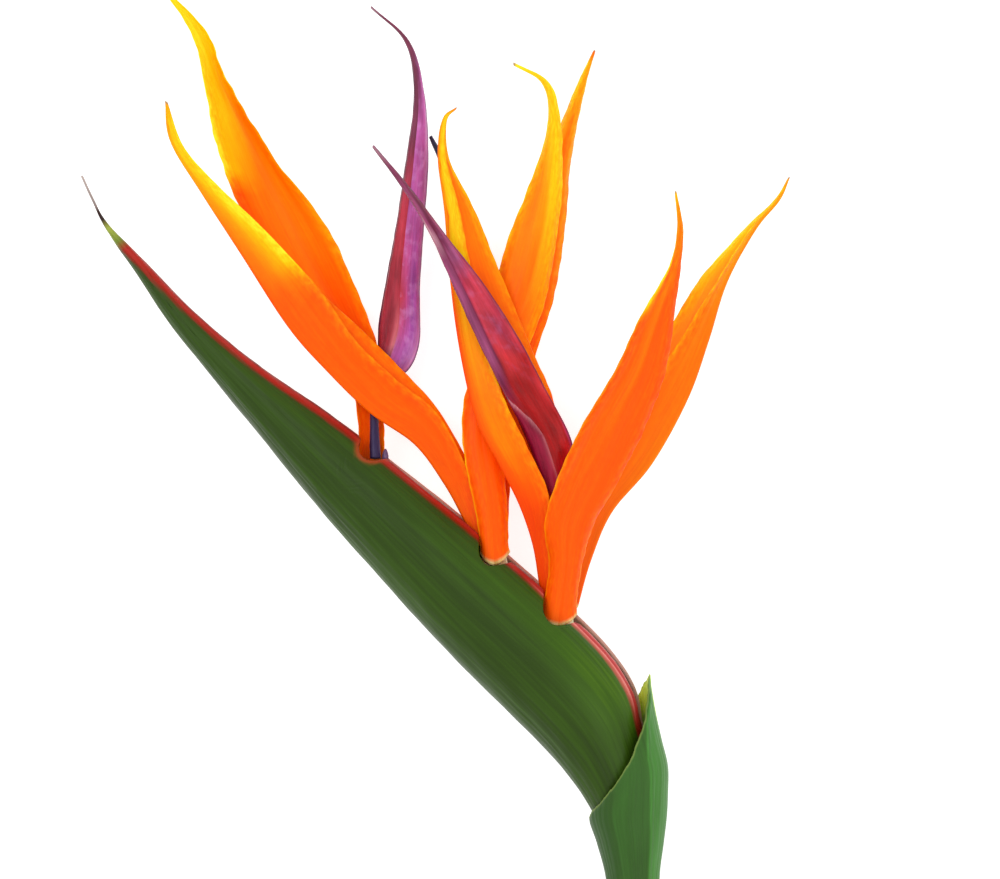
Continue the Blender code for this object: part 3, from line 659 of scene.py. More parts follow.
# %% Right front sepal
RIGHT_FRONT_SEPAL = (
    ((9.1, -38.6, 14.7), (12.6, -41.0, 16.0), (16.4, -38.6, 14.6)),
    ((10.7, -28.0, 16.6), (14.2, -28.0, 17.8), (17.9, -28.2, 15.6)),
    ((9.7, -18.6, 19.4), (14.6, -18.6, 20.4), (20.6, -18.6, 17.2)),
    ((12.6, -8.4, 21.0), (18.2, -9.0, 21.6), (25.5, -9.6, 18.0)),
    ((17.8, 3.0, 21.4), (24.0, 3.0, 21.9), (31.8, 2.6, 18.6)),
    ((25.0, 15.0, 21.6), (30.2, 15.0, 21.9), (36.1, 14.8, 19.0)),
    ((30.6, 26.8, 21.2), (34.4, 27.0, 21.4), (38.2, 27.0, 19.4)),
    ((36.9, 37.8, 20.8), (38.1, 38.0, 20.9), (39.5, 38.0, 19.9)),
    ((38.7, 46.0, 20.2), (39.3, 46.2, 20.4), (40.0, 46.0, 19.8)),
    ((38.2, 54.0, 19.9), (38.4, 54.4, 20.0), (38.6, 54.0, 19.8)),
)
RIGHT_FRONT_TONES = (
    (0.00, "3111112"),
    (0.10, "3111112"),
    (0.40, "3111111"),
    (0.60, "3112111"),
    (0.65, "4112111"),
    (0.69, "5412111"),
    (0.78, "5512212"),
    (0.84, "5322222"),
    (0.94, "4332233"),
    (1.00, "4444444"),
)
made = make_sepal("right_front_sepal", RIGHT_FRONT_SEPAL, RIGHT_FRONT_TONES, 6.0, frill=0.4)
print("right front sepal of", len(made.data.polygons), "quads before its wall")

# %% Right back sepal
RIGHT_BACK_SEPAL = (
    ((15.3, -37.4, 12.6), (16.6, -37.2, 11.4), (15.0, -37.4, 9.9)),
    ((16.8, -25.6, 12.4), (19.8, -26.4, 10.6), (15.8, -25.4, 8.6)),
    ((19.4, -13.6, 12.4), (24.5, -15.8, 9.6), (18.2, -13.0, 7.0)),
    ((25.6, -0.6, 11.4), (33.4, -5.2, 7.8), (24.2, 0.6, 4.8)),
    ((34.2, 13.4, 9.8), (41.3, 9.0, 5.8), (31.6, 15.0, 2.4)),
    ((41.3, 24.4, 8.0), (46.0, 22.0, 4.2), (38.3, 25.8, 0.7)),
    ((48.2, 35.6, 6.0), (50.1, 35.0, 3.2), (44.4, 35.8, 0.3)),
    ((55.2, 46.2, 4.4), (56.5, 46.6, 2.7), (54.2, 46.6, 0.9)),
    ((61.2, 53.2, 3.1), (62.0, 53.2, 2.3), (60.9, 53.2, 1.5)),
    ((64.0, 58.0, 2.3), (64.3, 58.2, 2.1), (64.0, 58.2, 1.9)),
)
RIGHT_BACK_TONES = (
    (0.00, "2111112"),
    (0.30, "3122222"),
    (0.48, "3222223"),
    (0.60, "3222233"),
    (0.74, "4332345"),
    (0.86, "4333444"),
    (1.00, "3333333"),
)
made = make_sepal("right_back_sepal", RIGHT_BACK_SEPAL, RIGHT_BACK_TONES, 7.0, frill=0.3)
print("right back sepal of", len(made.data.polygons), "quads before its wall")

# %% [markdown]
# ## The skin of an arrow petal
# Two of the three inner petals are fused into a stiff, folded arrow that hides the style. Its
# blue-violet comes from delphinidin pigment. On an ageing flower it turns rose and purple-red,
# darkest on the rims and down in the claw, and pale at the withered point. Tones of one colour
# can't give that, so this chart holds letters, each a colour, blended between its places.

# %% Finish of the arrow petals
# Thin satin tissue with fine lengthwise creases, which carry a painted sheen: pale violet wrinkles.
ARROW_TINTS = {
    "k": "#33274A",
    "n": "#272742",
    "p": "#4A1E3C",
    "v": "#B2549A",
    "w": "#9E4EA4",
    "l": "#CE94D0",
    "r": "#962C3A",
    "b": "#74304A",
    # m is the pale mauve of the withered point, and also a painted highlight on the right petal.
    "m": "#C08A9A",
    "d": "#9A0A0C",
    "o": "#BC3446",
    "q": "#8A1032",
    "a": "#96446C",
    # x is painted shadow: dark plum along the groove of the right petal's fold.
    "x": "#701A3C",
    "c": "#A82A46",
    "s": "#C02A30",
    # e is pale pink, laid on the right petal's lobe edge as a painted highlight.
    "e": "#D88A92",
}
arrow_skin, tree, shader = new_finish(
    "satin_violet_petal", 0.40, IOR=1.45, Specular_IOR_Level=0.22,
    Subsurface_Weight=0.03, Subsurface_Radius=(1.0, 0.3, 0.6), Subsurface_Scale=0.001,
)
crease = fibres(tree, 0.9, 5.0, 3.0)
thread = fibres(tree, 0.35, 12.0, 2.0)
cloud = fibres(tree, 2.2, 9.0, 3.0)
crinkle = fibres(tree, 2.0, 2.8, 3.0)
painted = add(tree, "Attribute", attribute_name="tint").outputs["Color"]
depth = add(tree, "MapRange", {0: cloud, 1: 0.3, 2: 0.7, 3: 0.68, 4: 1.24}).outputs[0]
line = add(tree, "MapRange", {0: thread, 1: 0.3, 2: 0.7, 3: 0.88, 4: 1.12}).outputs[0]
both = add(tree, "Math", {0: depth, 1: line}, operation="MULTIPLY").outputs[0]
painted = add(tree, "VectorMath", {0: painted, "Scale": both}, operation="SCALE").outputs[0]
# Painted sheen: pale violet patches on the crinkles, mixed into the colour as a highlight.
painted_sheen_mask = add(tree, "MapRange", {0: crinkle, 1: 0.50, 2: 0.72, 3: 0.0, 4: 0.62}).outputs[0]
painted_sheen = value_of(tree, "painted_sheen")
painted_sheen_mask = add(tree, "Math", {0: painted_sheen_mask, 1: painted_sheen}, operation="MULTIPLY").outputs[0]
PAINTED_SHEEN_COLOUR, RIM = linear("#CC8AC8"), linear("#3E1C3C")
painted = add(tree, "Mix", {"Factor": painted_sheen_mask, 6: painted, 7: PAINTED_SHEEN_COLOUR}, data_type="RGBA").outputs[2]
rim = value_of(tree, "edge_mm")
edged = add(tree, "Math", {0: rim, 1: cloud}, operation="SUBTRACT").outputs[0]
dark_rim = add(tree, "MapRange", {0: edged, 1: 0.15, 2: -0.3, 3: 0.0, 4: 0.7}).outputs[0]
painted = add(tree, "Mix", {"Factor": dark_rim, 6: painted, 7: RIM}, data_type="RGBA").outputs[2]
gloss = add(tree, "MapRange", {0: crease, 1: 0.3, 2: 0.7, 3: 0.48, 4: 0.32}).outputs[0]
tree.links.new(gloss, shader.inputs["Roughness"])
relief = add(tree, "Math", {0: crease, 1: crinkle}, operation="ADD").outputs[0]
dress(tree, shader, painted, relief, 0.5, 0.35 * MM)
print("arrow petal finish has", len(tree.nodes), "nodes")

# %% Make one arrow petal from its stations and its tints
ARROW_ROWS, ARROW_COLS = 150, 40
ARROW_WALL = 1.5
TINT_PLACES = np.array((-1.0, -0.75, -0.5, -0.25, 0.02, 0.12, 0.55, 0.85, 1.0))


def tints_at(chart, u, v):
    """Linear colours at each place, blended between the chart's rows and its letters."""
    rows = np.array([row[0] for row in chart])
    table = np.array([[linear(ARROW_TINTS[c])[:3] for c in row[1]] for row in chart])
    right = np.clip(np.searchsorted(rows, u, side="right"), 1, len(rows) - 1)
    rise = (u - rows[right - 1]) / (rows[right] - rows[right - 1])
    left = np.clip(np.searchsorted(TINT_PLACES, v, side="right") - 1, 0, len(TINT_PLACES) - 2)
    share = (v - TINT_PLACES[left]) / (TINT_PLACES[left + 1] - TINT_PLACES[left])
    rise, share = rise[:, None], share[:, None]
    low = table[right - 1, left] * (1 - share) + table[right - 1, left + 1] * share
    high = table[right, left] * (1 - share) + table[right, left + 1] * share
    return low * (1 - rise) + high * rise


# Where the low lobe of the right petal ends: how far up, and its place across.
LOBE_EDGE = ((0.20, 0.38, 0.445, 0.50, 0.56), (0.03, 0.04, -0.39, -1.0, -2.0))


def make_arrow_petal(node, rails, chart, seed, painted_sheen_amount=0.3, painted_sheen_from=0.3, lobe=0.0):
    """An arrow petal with a grooved ridge, a creased face and its tints as an attribute."""
    rails = np.asarray(rails, float)
    work, u, v, order = flat_grid(ARROW_ROWS, ARROW_COLS)
    points = folded(rails, u, v, 0.20 + 0.4 * np.exp(-u / 0.05) + 0.3 * ease(u, 0.9, 1.0))
    shape = (ARROW_ROWS + 1, ARROW_COLS + 1, 3)
    grid = points[order].reshape(shape)
    up = normals_of(grid)
    up = up * np.sign(up[..., 2:].mean())
    reach = from_side(grid)
    half = reach[:, -1:] / 2
    edge = np.minimum(reach, reach[:, -1:] - reach)
    vv, uu = v[order].reshape(shape[:2]), u[order].reshape(shape[:2])
    length = from_base(grid)
    lift = 0.35 * np.sin(math.pi * np.abs(vv)) * np.minimum(half / 4, 1)
    groove = 0.28 if lobe == 0 else 0.0
    lift = lift - groove * np.exp(-((vv * half / 0.45) ** 2)) * np.minimum(half / 2, 1)
    # A lobe folds over the ridge low down, and its edge stands a little proud of the face.
    inside = np.interp(uu, *LOBE_EDGE) - vv
    lift = lift + lobe * ease(uu, 0.2, 0.28) * ease(inside, 0.0, 0.06) * ease(vv, -1.0, -0.5)
    creases = wobble(vv * 7 + 0.25 * wobble(length * 0.35, seed), seed + 1)
    lift = lift + 0.09 * creases * np.minimum(half / 3, 1)
    lift = lift + 0.12 * wobble(length * 0.9 + vv * 3, seed) * np.exp(-edge / 1.2) * np.minimum(half / 3, 1)
    grid = grid + up * lift[..., None]
    # The painted sheen lies on the right face, from a given place up to near the tip.
    painted_sheen = ease(v, -0.05, 0.15) * ease(u, painted_sheen_from, painted_sheen_from + 0.12) * ease(1 - u, 0.06, 0.3)
    values = {"edge_mm": by_point(edge, order, shape), "painted_sheen": painted_sheen * painted_sheen_amount}
    thin = (0.28 + 0.72 * ease(values["edge_mm"], 0.0, 1.6)) * (1 - 0.6 * u**3)
    tint = tints_at(chart, u, v)
    if lobe > 0:
        inside = np.interp(u, *LOBE_EDGE) - v
        # A pale pink line along the lobe's proud edge is a painted highlight.
        painted_light = np.exp(-((inside / 0.055) ** 2)) * ease(u, 0.2, 0.26)
        for part, letter in ((ease(inside, 0.0, 0.05), "q"), (0.85 * painted_light, "e")):
            tint += part[:, None] * (np.array(linear(ARROW_TINTS[letter])[:3]) - tint)
    values["tint"] = np.column_stack([tint, np.ones(len(u))])
    return settle(
        node, work, order, grid, v, values, ARROW_WALL, thin, arrow_skin
    )


print("arrow tints:", len(ARROW_TINTS))

# %% [markdown]
# ## The three arrow petals
# Each rises from its flower on a thin dark claw, widens to two lobes like the barbs of an
# arrow, and tapers to a point. The middle flower's is hidden but for its dark tip.

# %% Left arrow petal
LEFT_ARROW_PETAL = (
    ((-28.5, -4.3, 11.8), (-27.4, -4.3, 12.9), (-26.3, -4.3, 11.8)),
    ((-28.5, 2.0, 10.8), (-27.7, 2.0, 11.8), (-26.8, 2.0, 10.8)),
    ((-28.3, 8.0, 9.2), (-27.6, 8.0, 10.2), (-26.8, 8.0, 9.2)),
    ((-27.3, 14.0, 7.7), (-26.2, 13.8, 8.8), (-24.9, 13.4, 7.7)),
    ((-26.9, 18.6, 6.8), (-24.1, 18.6, 8.2), (-20.4, 15.2, 6.8)),
    ((-26.8, 25.5, 6.8), (-22.4, 25.0, 8.6), (-17.8, 21.5, 6.8)),
    ((-25.2, 34.5, 7.4), (-21.9, 35.0, 9.4), (-17.7, 33.5, 7.4)),
    ((-22.8, 47.5, 8.4), (-20.7, 47.2, 10.2), (-16.8, 47.0, 8.4)),
    ((-20.6, 62.0, 9.4), (-19.0, 62.0, 11.0), (-15.8, 62.0, 9.4)),
    ((-18.9, 76.0, 9.8), (-18.0, 76.0, 11.2), (-16.7, 76.0, 9.8)),
    ((-20.9, 87.6, 9.8), (-20.3, 87.5, 10.9), (-19.8, 87.1, 9.8)),
    ((-28.6, 95.2, 9.8), (-28.5, 95.4, 10.2), (-28.4, 95.6, 9.8)),
)
LEFT_ARROW_TINTS = (
    (0.00, "kkkkkkkkk"),
    (0.27, "kkkkkkkkk"),
    (0.33, "kppppvwvp"),
    (0.40, "prrrevwlw"),
    (0.52, "prrroowvl"),
    (0.65, "pproovvvl"),
    (0.76, "ppbbbvvlv"),
    (0.84, "pppbbbvvv"),
    (0.91, "ppbbbbbvb"),
    (0.97, "bbbbbbbmb"),
    (1.00, "mmmmmmmmm"),
)
made = make_arrow_petal("left_arrow_petal", LEFT_ARROW_PETAL, LEFT_ARROW_TINTS, 1.0, painted_sheen_amount=0.9)
print("left arrow petal of", len(made.data.polygons), "quads before its wall")

# %% Middle arrow petal
MIDDLE_ARROW_PETAL = (
    ((-1.9, -25.0, 11.3), (-1.2, -25.0, 12.1), (-0.4, -25.0, 11.3)),
    ((-3.7, -8.0, 10.2), (-2.9, -8.0, 11.0), (-2.0, -8.0, 10.2)),
    ((-5.4, 6.0, 7.9), (-4.5, 6.0, 8.7), (-3.6, 6.0, 7.9)),
    ((-6.2, 12.0, 6.6), (-4.9, 12.0, 7.5), (-3.6, 12.0, 6.6)),
    ((-6.8, 17.0, 5.6), (-4.4, 17.0, 6.9), (-1.4, 16.0, 5.6)),
    ((-8.2, 24.0, 5.2), (-4.8, 24.0, 6.9), (-1.6, 23.0, 5.2)),
    ((-9.5, 36.0, 5.8), (-6.4, 36.0, 7.6), (-3.2, 36.0, 5.8)),
    ((-10.8, 50.0, 7.2), (-8.9, 50.0, 8.7), (-7.0, 50.0, 7.2)),
    ((-13.0, 60.0, 7.4), (-12.1, 60.0, 8.6), (-11.2, 60.0, 7.4)),
    ((-15.7, 66.8, 7.6), (-15.4, 67.0, 7.9), (-15.1, 67.2, 7.6)),
)
MIDDLE_ARROW_TINTS = (
    (0.00, "kkkkkkkkk"),
    (0.40, "kppppppvv"),
    (0.70, "kpppppppp"),
    (0.88, "nnnnnnnnn"),
    (1.00, "nnnnnnnnn"),
)
made = make_arrow_petal("middle_arrow_petal", MIDDLE_ARROW_PETAL, MIDDLE_ARROW_TINTS, 2.0)
print("middle arrow petal of", len(made.data.polygons), "quads before its wall")

# %% Right arrow petal
RIGHT_ARROW_PETAL = (
    ((12.4, -37.4, 12.1), (13.2, -37.4, 13.0), (14.0, -37.4, 12.1)),
    ((12.9, -26.0, 13.3), (13.8, -26.0, 14.2), (14.7, -26.0, 13.3)),
    ((12.9, -16.0, 14.7), (13.9, -16.0, 15.6), (14.9, -16.0, 14.7)),
    ((10.0, -10.4, 15.0), (11.9, -7.4, 16.8), (15.9, -4.0, 15.8)),
    ((4.9, 2.4, 16.9), (8.2, 3.0, 18.2), (15.2, 1.2, 17.5)),
    ((0.6, 11.0, 20.3), (2.6, 11.4, 21.2), (10.0, 11.0, 18.8)),
    ((-4.9, 22.0, 21.2), (-2.9, 22.3, 22.2), (4.2, 22.0, 20.4)),
    ((-10.3, 34.0, 21.3), (-8.4, 34.0, 22.6), (-3.6, 34.0, 21.2)),
    ((-15.3, 45.0, 21.5), (-14.1, 45.1, 22.7), (-12.2, 45.0, 21.6)),
    ((-21.1, 54.6, 21.6), (-20.5, 54.9, 22.5), (-19.9, 55.2, 21.6)),
    ((-27.9, 63.9, 21.6), (-27.8, 64.1, 22.0), (-27.6, 64.3, 21.6)),
)
# Here x up the fold is painted groove shadow, and m on the left face is a painted highlight.
RIGHT_ARROW_TINTS = (
    (0.00, "kkkkkkkkk"),
    (0.20, "qqqqqqqqq"),
    (0.33, "qqqqdddsw"),
    (0.38, "qqqqdddsv"),
    (0.445, "axdddddds"),
    (0.51, "aaxxdddss"),
    (0.56, "aaaaxssds"),
    (0.615, "aaaaxocos"),
    (0.654, "aaaaxoocc"),
    (0.705, "aaaaxcooc"),
    (0.746, "maaaxaacv"),
    (0.79, "mmmmxxaav"),
    (0.82, "mmmaxxaav"),
    (0.85, "aaaaabbaa"),
    (0.89, "baaabbbaa"),
    (0.95, "bbbbabaab"),
    (1.00, "mmmmmmmmm"),
)
made = make_arrow_petal(
    "right_arrow_petal", RIGHT_ARROW_PETAL, RIGHT_ARROW_TINTS, 3.0,
    painted_sheen_amount=0.22, painted_sheen_from=0.48, lobe=0.6,
)
print("right arrow petal of", len(made.data.polygons), "quads before its wall")

# %% [markdown]
# ## The spathe
# The spathe is a boat-shaped bract, leathery and glossy, closed round the young flowers. Its
# keel is the lower edge of the "head" and its two margins meet along the top, where the skin
# turns red. It narrows to a dried point, the beak. One sheet folded round from margin over
# keel to margin is both what it is and the easiest thing to shape: each cross-section is an
# open ellipse. Where a flower stands in front, the near margin dips under its foot.

# %% Stations of the spathe
# Keel x, y; margin x, y; middle z; half depth; how far the walls close, from neck to beak.
SPATHE_RINGS = (
    (23.9, -89.0, 34.1, -89.0, 8.2, 4.95, 0.97),
    (22.3, -84.2, 34.0, -79.0, 8.9, 5.4, 0.97),
    (17.6, -76.4, 31.4, -64.0, 10.1, 7.4, 0.94),
    (10.3, -67.5, 28.8, -53.4, 10.9, 9.5, 0.91),
    (0.0, -57.1, 19.9, -41.9, 11.1, 10.45, 0.90),
    (-15.0, -42.0, 0.8, -25.1, 10.7, 10.0, 0.90),
    (-30.1, -25.3, -16.6, -10.9, 10.1, 9.0, 0.90),
    (-45.5, -7.8, -35.1, 3.3, 9.3, 7.4, 0.91),
    (-60.3, 10.2, -53.7, 16.4, 8.4, 5.4, 0.93),
    (-71.5, 24.3, -66.8, 27.6, 7.6, 3.6, 0.94),
    (-80.6, 37.9, -78.0, 39.3, 7.0, 2.1, 0.94),
    (-87.3, 47.0, -86.4, 47.5, 6.7, 1.3, 0.94),
    (-90.4, 53.0, -89.6, 53.2, 6.5, 1.0, 0.94),
    (-92.7, 58.2, -92.1, 58.4, 6.4, 0.9, 0.94),
)
# Dips of the near margin in front of each flower: middle x, y and half sizes.
SPATHE_DIPS = (
    (-27.9, -2.2, 3.7, 3.1),
    (-1.5, -23.5, 3.7, 4.9),
    (12.8, -36.3, 3.9, 5.1),
)
SPATHE_ROWS, SPATHE_COLS = 300, 120
SPATHE_WALL = 1.3
BEAK_START = 0.76
# Small shifts of the walls, in mm, at places from the neck to the beak.
MARGIN_IN = ((0.0, 0.55, 0.65, 0.72, 0.78, 0.82, 0.86), (0.0, 0.0, 0.25, 0.6, 0.75, 0.5, 0.0))
KEEL_IN = ((0.5, 0.58, 0.66, 0.72, 0.8, 0.83, 0.87), (0.0, 0.5, 0.5, 0.15, 0.2, 0.3, 0.0))
NEAR_LOWER = ((0.1, 0.18, 0.33, 0.36, 0.45, 0.55), (0.0, 0.95, 0.95, 0.5, 0.4, 0.0))
# How narrow the red band is at places from the neck to the beak: a larger number is narrower.
RED_NARROWNESS = ((0.0, 0.3, 0.4, 0.6, 0.75, 0.82), (2.6, 2.6, 2.4, 2.3, 2.6, 4.0))
print("spathe stations:", len(SPATHE_RINGS), "and dips:", len(SPATHE_DIPS))

# %% Finish of the spathe
# A leathery leaf with a thin wax bloom: dark green with fine parallel veins about 0.8 mm apart,
# paler streaks where the tissue is thinner, and anthocyanin red along the margins.
spathe_skin, tree, shader = new_finish(
    "leathery_green_spathe", 0.40, IOR=1.45, Specular_IOR_Level=0.2
)
vein = fibres(tree, 0.8, 40.0, 2.0)
streak = fibres(tree, 2.4, 34.0, 3.0)
cloud = fibres(tree, 9.0, 55.0, 3.0)
fleck = fibres(tree, 0.7, 2.4, 2.0)
amount = varied(tree, value_of(tree, "light"), (vein, 0.07), (streak, 0.05), (cloud, 0.10))
GREENS = [
    (0.0, "#1F3008"),
    (0.3, "#2B420A"),
    (0.55, "#38590B"),
    (0.8, "#4E720E"),
    (1.0, "#668C1A"),
]
green = add(tree, "ValToRGB", {"Fac": amount}, GREENS).outputs["Color"]
# Red at the margin, brownish at its crest and where it fades into the green. Near the neck the
# skin is stretched and shines, so two pale lines, painted highlights, run along it.
depth = varied(tree, value_of(tree, "near_mm"), (fleck, 0.16), (streak, 0.25))
depth = add(tree, "Math", {0: depth, 1: 0.1}, operation="MULTIPLY").outputs[0]
MARGIN = [
    (0.00, "#5E1C16"),
    (0.06, "#98261C"),
    (0.16, "#AA241A"),
    (0.26, "#9C1E0C"),
    (0.33, "#7A280C"),
    (0.42, "#423C14"),
]
NECK_MARGIN_WITH_PAINTED_HIGHLIGHTS = [
    (0.00, "#8A3A34"),
    (0.04, "#CE5E58"),
    (0.09, "#B83C3A"),
    (0.16, "#B03030"),
    (0.21, "#C85450"),
    (0.25, "#E88A80"),
    (0.29, "#D2685E"),
    (0.35, "#B0503C"),
]
margin = add(tree, "ValToRGB", {"Fac": depth}, MARGIN).outputs["Color"]
painted_highlight_margin = add(tree, "ValToRGB", {"Fac": depth}, NECK_MARGIN_WITH_PAINTED_HIGHLIGHTS).outputs["Color"]
neck = value_of(tree, "neck")
margin = add(tree, "Mix", {"Factor": neck, 6: margin, 7: painted_highlight_margin}, data_type="RGBA").outputs[2]
fade = add(tree, "MapRange", {0: depth, 1: 0.36, 2: 0.48}).outputs[0]
skin = add(tree, "Mix", {"Factor": fade, 6: margin, 7: green}, data_type="RGBA").outputs[2]
# A reddish scar rings the foot of the oldest flower.
SCAR, FAR_SIDE = linear("#A8401E"), linear("#CC9C8C")
scarred = add(tree, "Math", {0: value_of(tree, "scar"), 1: 0.85}, operation="MULTIPLY").outputs[0]
skin = add(tree, "Mix", {"Factor": scarred, 6: skin, 7: SCAR}, data_type="RGBA").outputs[2]
# The inside and the far margin are duller, grey-brown with a mauve cast.
far_side = add(tree, "MapRange", {0: value_of(tree, "far_mm"), 1: 3.6, 2: 2.2}).outputs[0]
skin = add(tree, "Mix", {"Factor": far_side, 6: skin, 7: FAR_SIDE}, data_type="RGBA").outputs[2]
# The beak runs through yellow-green to dark brown and ends in a pale withered hair.
BEAK = [
    (0.00, "#3A6014"),
    (0.17, "#4C6C1E"),
    (0.24, "#7C8C30"),
    (0.33, "#98A440"),
    (0.385, "#6A6428"),
    (0.42, "#2A1614"),
    (0.52, "#38221F"),
    (0.58, "#8C7C78"),
    (1.00, "#BCACA6"),
]
along_it = value_of(tree, "along")
beak = add(tree, "ValToRGB", {"Fac": along_it}, BEAK).outputs["Color"]
at_beak = add(tree, "MapRange", {0: along_it, 1: 0.15, 2: 0.22}).outputs[0]
skin = add(tree, "Mix", {"Factor": at_beak, 6: skin, 7: beak}, data_type="RGBA").outputs[2]
gloss = add(tree, "MapRange", {0: cloud, 1: 0.3, 2: 0.7, 3: 0.34, 4: 0.46}).outputs[0]
tree.links.new(gloss, shader.inputs["Roughness"])
relief = add(tree, "Math", {0: vein, 1: streak}, operation="ADD").outputs[0]
dress(tree, shader, skin, relief, 0.35, 0.3 * MM)
print("spathe finish has", len(tree.nodes), "nodes")

# %% Fold the spathe
work, u, v, order = flat_grid(SPATHE_ROWS, SPATHE_COLS)
shape = (SPATHE_ROWS + 1, SPATHE_COLS + 1, 3)
rings = along(SPATHE_RINGS, u)


def spathe_point(v):
    """The place of every point of the spathe, with its own v."""
    keel, margin, middle, depth, closing = (
        rings[:, 0:2], rings[:, 2:4], rings[:, 4], rings[:, 5], rings[:, 6]
    )
    angle = math.pi * closing * np.abs(v) ** 0.9
    part = (1 - np.cos(angle)) / (1 - np.cos(math.pi * closing))
    flat = keel + (margin - keel) * part[:, None]
    height = middle - np.sign(v) * depth * np.sin(angle)
    # The near wall ends lower than the far one by the neck, and both draw in towards the beak.
    drawn = ease(np.abs(v), 0.3, 1.0) * np.interp(u, *MARGIN_IN)
    drawn = drawn + ease(-v, 0.55, 1.0) * np.interp(u, *NEAR_LOWER)
    drawn = drawn - ease(0.7 - np.abs(v), 0.0, 0.7) * np.interp(u, *KEEL_IN)
    flat = flat - unit(margin - keel) * drawn[:, None]
    return np.column_stack([flat, height])


def dip_depth(points):
    """How deep each point is inside a dip, above zero inside."""
    deep = np.full(len(points), -1.0)
    for x, y, half_x, half_y in SPATHE_DIPS:
        reach = np.hypot((points[:, 0] - x) / half_x, (points[:, 1] - y) / half_y)
        deep = np.maximum(deep, 1 - reach)
    return deep


# For every cross-section, find how far up the near wall goes before it meets a dip.
LOWEST_DIP = 0.35
tries = np.linspace(LOWEST_DIP, 1.0, 131)
top = np.full(SPATHE_ROWS + 1, 1.0)
first = order.reshape(shape[:2])[:, 0]
for reach in tries[::-1]:
    inside = dip_depth(spathe_point(np.full(len(u), -reach)))[first] > 0
    top = np.where(inside, reach, top)
# Blurring over five rows rounds off the corners of the dips.
kernel = np.exp(-np.linspace(-1.6, 1.6, 5) ** 2)
top = np.convolve(np.pad(top, 2, mode="edge"), kernel / kernel.sum(), mode="valid")
cut_v = np.where(v < 0, v * by_point(top[:, None], order, shape), v)
whole = from_side(spathe_point(v)[order].reshape(shape))
points = spathe_point(cut_v)
grid = points[order].reshape(shape)
up = normals_of(grid)
reach = from_side(grid)
far_mm = reach[:, -1:] - reach
near_mm = np.maximum(whole[:, -1:] - far_mm, 0.0)
length = from_base(grid)
vv, uu = cut_v[order].reshape(shape[:2]), u[order].reshape(shape[:2])
outwards = unit(grid - grid.mean(axis=1, keepdims=True))
up = up * np.sign((up * outwards).sum(axis=2).mean())
body = np.minimum(reach[:, -1:] / 30, 1)
lift = 0.16 * wobble(length * 0.06 + vv * 4, 3.0) * body
lift = lift + 0.10 * wobble(vv * 22, 5.0) * body
lip = np.exp(-((near_mm - 0.9) ** 2) / 0.5) + np.exp(-((far_mm - 0.9) ** 2) / 0.5)
lift = lift + 0.22 * lip * body
wave = wobble(length * 0.3, 2.0) * np.exp(-near_mm / 2.0) * body
grid = grid + up * (lift + 0.10 * wave)[..., None]
# The beak is only a dry thread: its cross-sections shrink to a third.
shrink = 1 - 0.66 * ease(uu, 0.79, 0.87)
centre = grid.mean(axis=1, keepdims=True)
grid = centre + (grid - centre) * shrink[..., None]
points[order] = grid.reshape(-1, 3)
# The lighter tissue lies by the near margin, towards the neck.
low_part = np.exp(-(((u - 0.25) / 0.10) ** 2) - (((cut_v + 0.85) / 0.35) ** 2))
light = 0.31 + 0.36 * low_part
# The red is measured straight in from the near margin, as it's seen from above.
from_margin = np.linalg.norm(points[:, :2] - spathe_point(-np.ones(len(u)))[:, :2], axis=1)
NO_RED = 30.0
from_margin = np.where(cut_v < 0, from_margin, NO_RED)
scar_x, scar_y, scar_half_x, scar_half_y = SPATHE_DIPS[0]
scar = np.hypot((points[:, 0] - scar_x) / scar_half_x, (points[:, 1] - scar_y) / scar_half_y)
values = {
    "near_mm": from_margin * np.interp(u, *RED_NARROWNESS),
    # Where the painted highlight lines run along the red band, near the neck.
    "neck": ease(0.37 - u, 0.0, 0.04) * ease(u, 0.16, 0.24),
    "scar": np.exp(-(((scar - 1) / 0.14) ** 2)) * (cut_v < 0),
    "far_mm": by_point(far_mm, order, shape),
    "along": np.clip((u - BEAK_START) / (1 - BEAK_START), 0, 1),
    "light": light,
}
to_margin = np.minimum(by_point(near_mm, order, shape), values["far_mm"])
thin = (0.55 + 0.45 * ease(to_margin, 0, 1.5)) * (1 - 0.72 * ease(u, 0.8, 0.9))
# The grid is fine enough to need no subdivision.
made = settle(
    "spathe", work, order, grid, cut_v, values, SPATHE_WALL, thin,
    spathe_skin, rounds=0,
)
print("spathe of", len(made.data.polygons), "quads before its wall")
print("near wall reaches down to", top.min().round(2), "of its way at the dips")

# %% [markdown]
# ## The sheath bract
# Under the head a leaf sheath wraps the stalk and its mouth opens round the neck, with one
# margin tucked behind the other. It is thinner than the spathe, with a pale midrib. It could be
# a tube cut by a slanting plane, but its two margins pass over each other, so it is a sheet
# rolled just over once, with the height of the mouth given for each angle round it.

# %% Stations of the sheath
# y, middle x, middle z, half width in x, half depth in z, going up.
SHEATH_RINGS = (
    (-155.2, 31.2, 5.7, 5.5, 5.5),
    (-130.0, 30.6, 6.0, 5.5, 5.5),
    (-105.0, 29.9, 6.7, 5.6, 5.6),
    (-96.5, 29.5, 7.4, 5.8, 5.8),
    (-89.0, 28.95, 8.3, 7.2, 7.4),
    (-83.0, 28.3, 9.0, 8.5, 8.2),
    (-78.0, 28.5, 9.6, 8.5, 8.7),
    (-72.0, 28.6, 10.1, 8.4, 8.9),
    (-66.0, 27.4, 10.3, 8.2, 8.8),
    (-60.0, 26.3, 10.4, 8.0, 8.4),
    (-54.0, 25.3, 10.6, 8.0, 8.0),
)
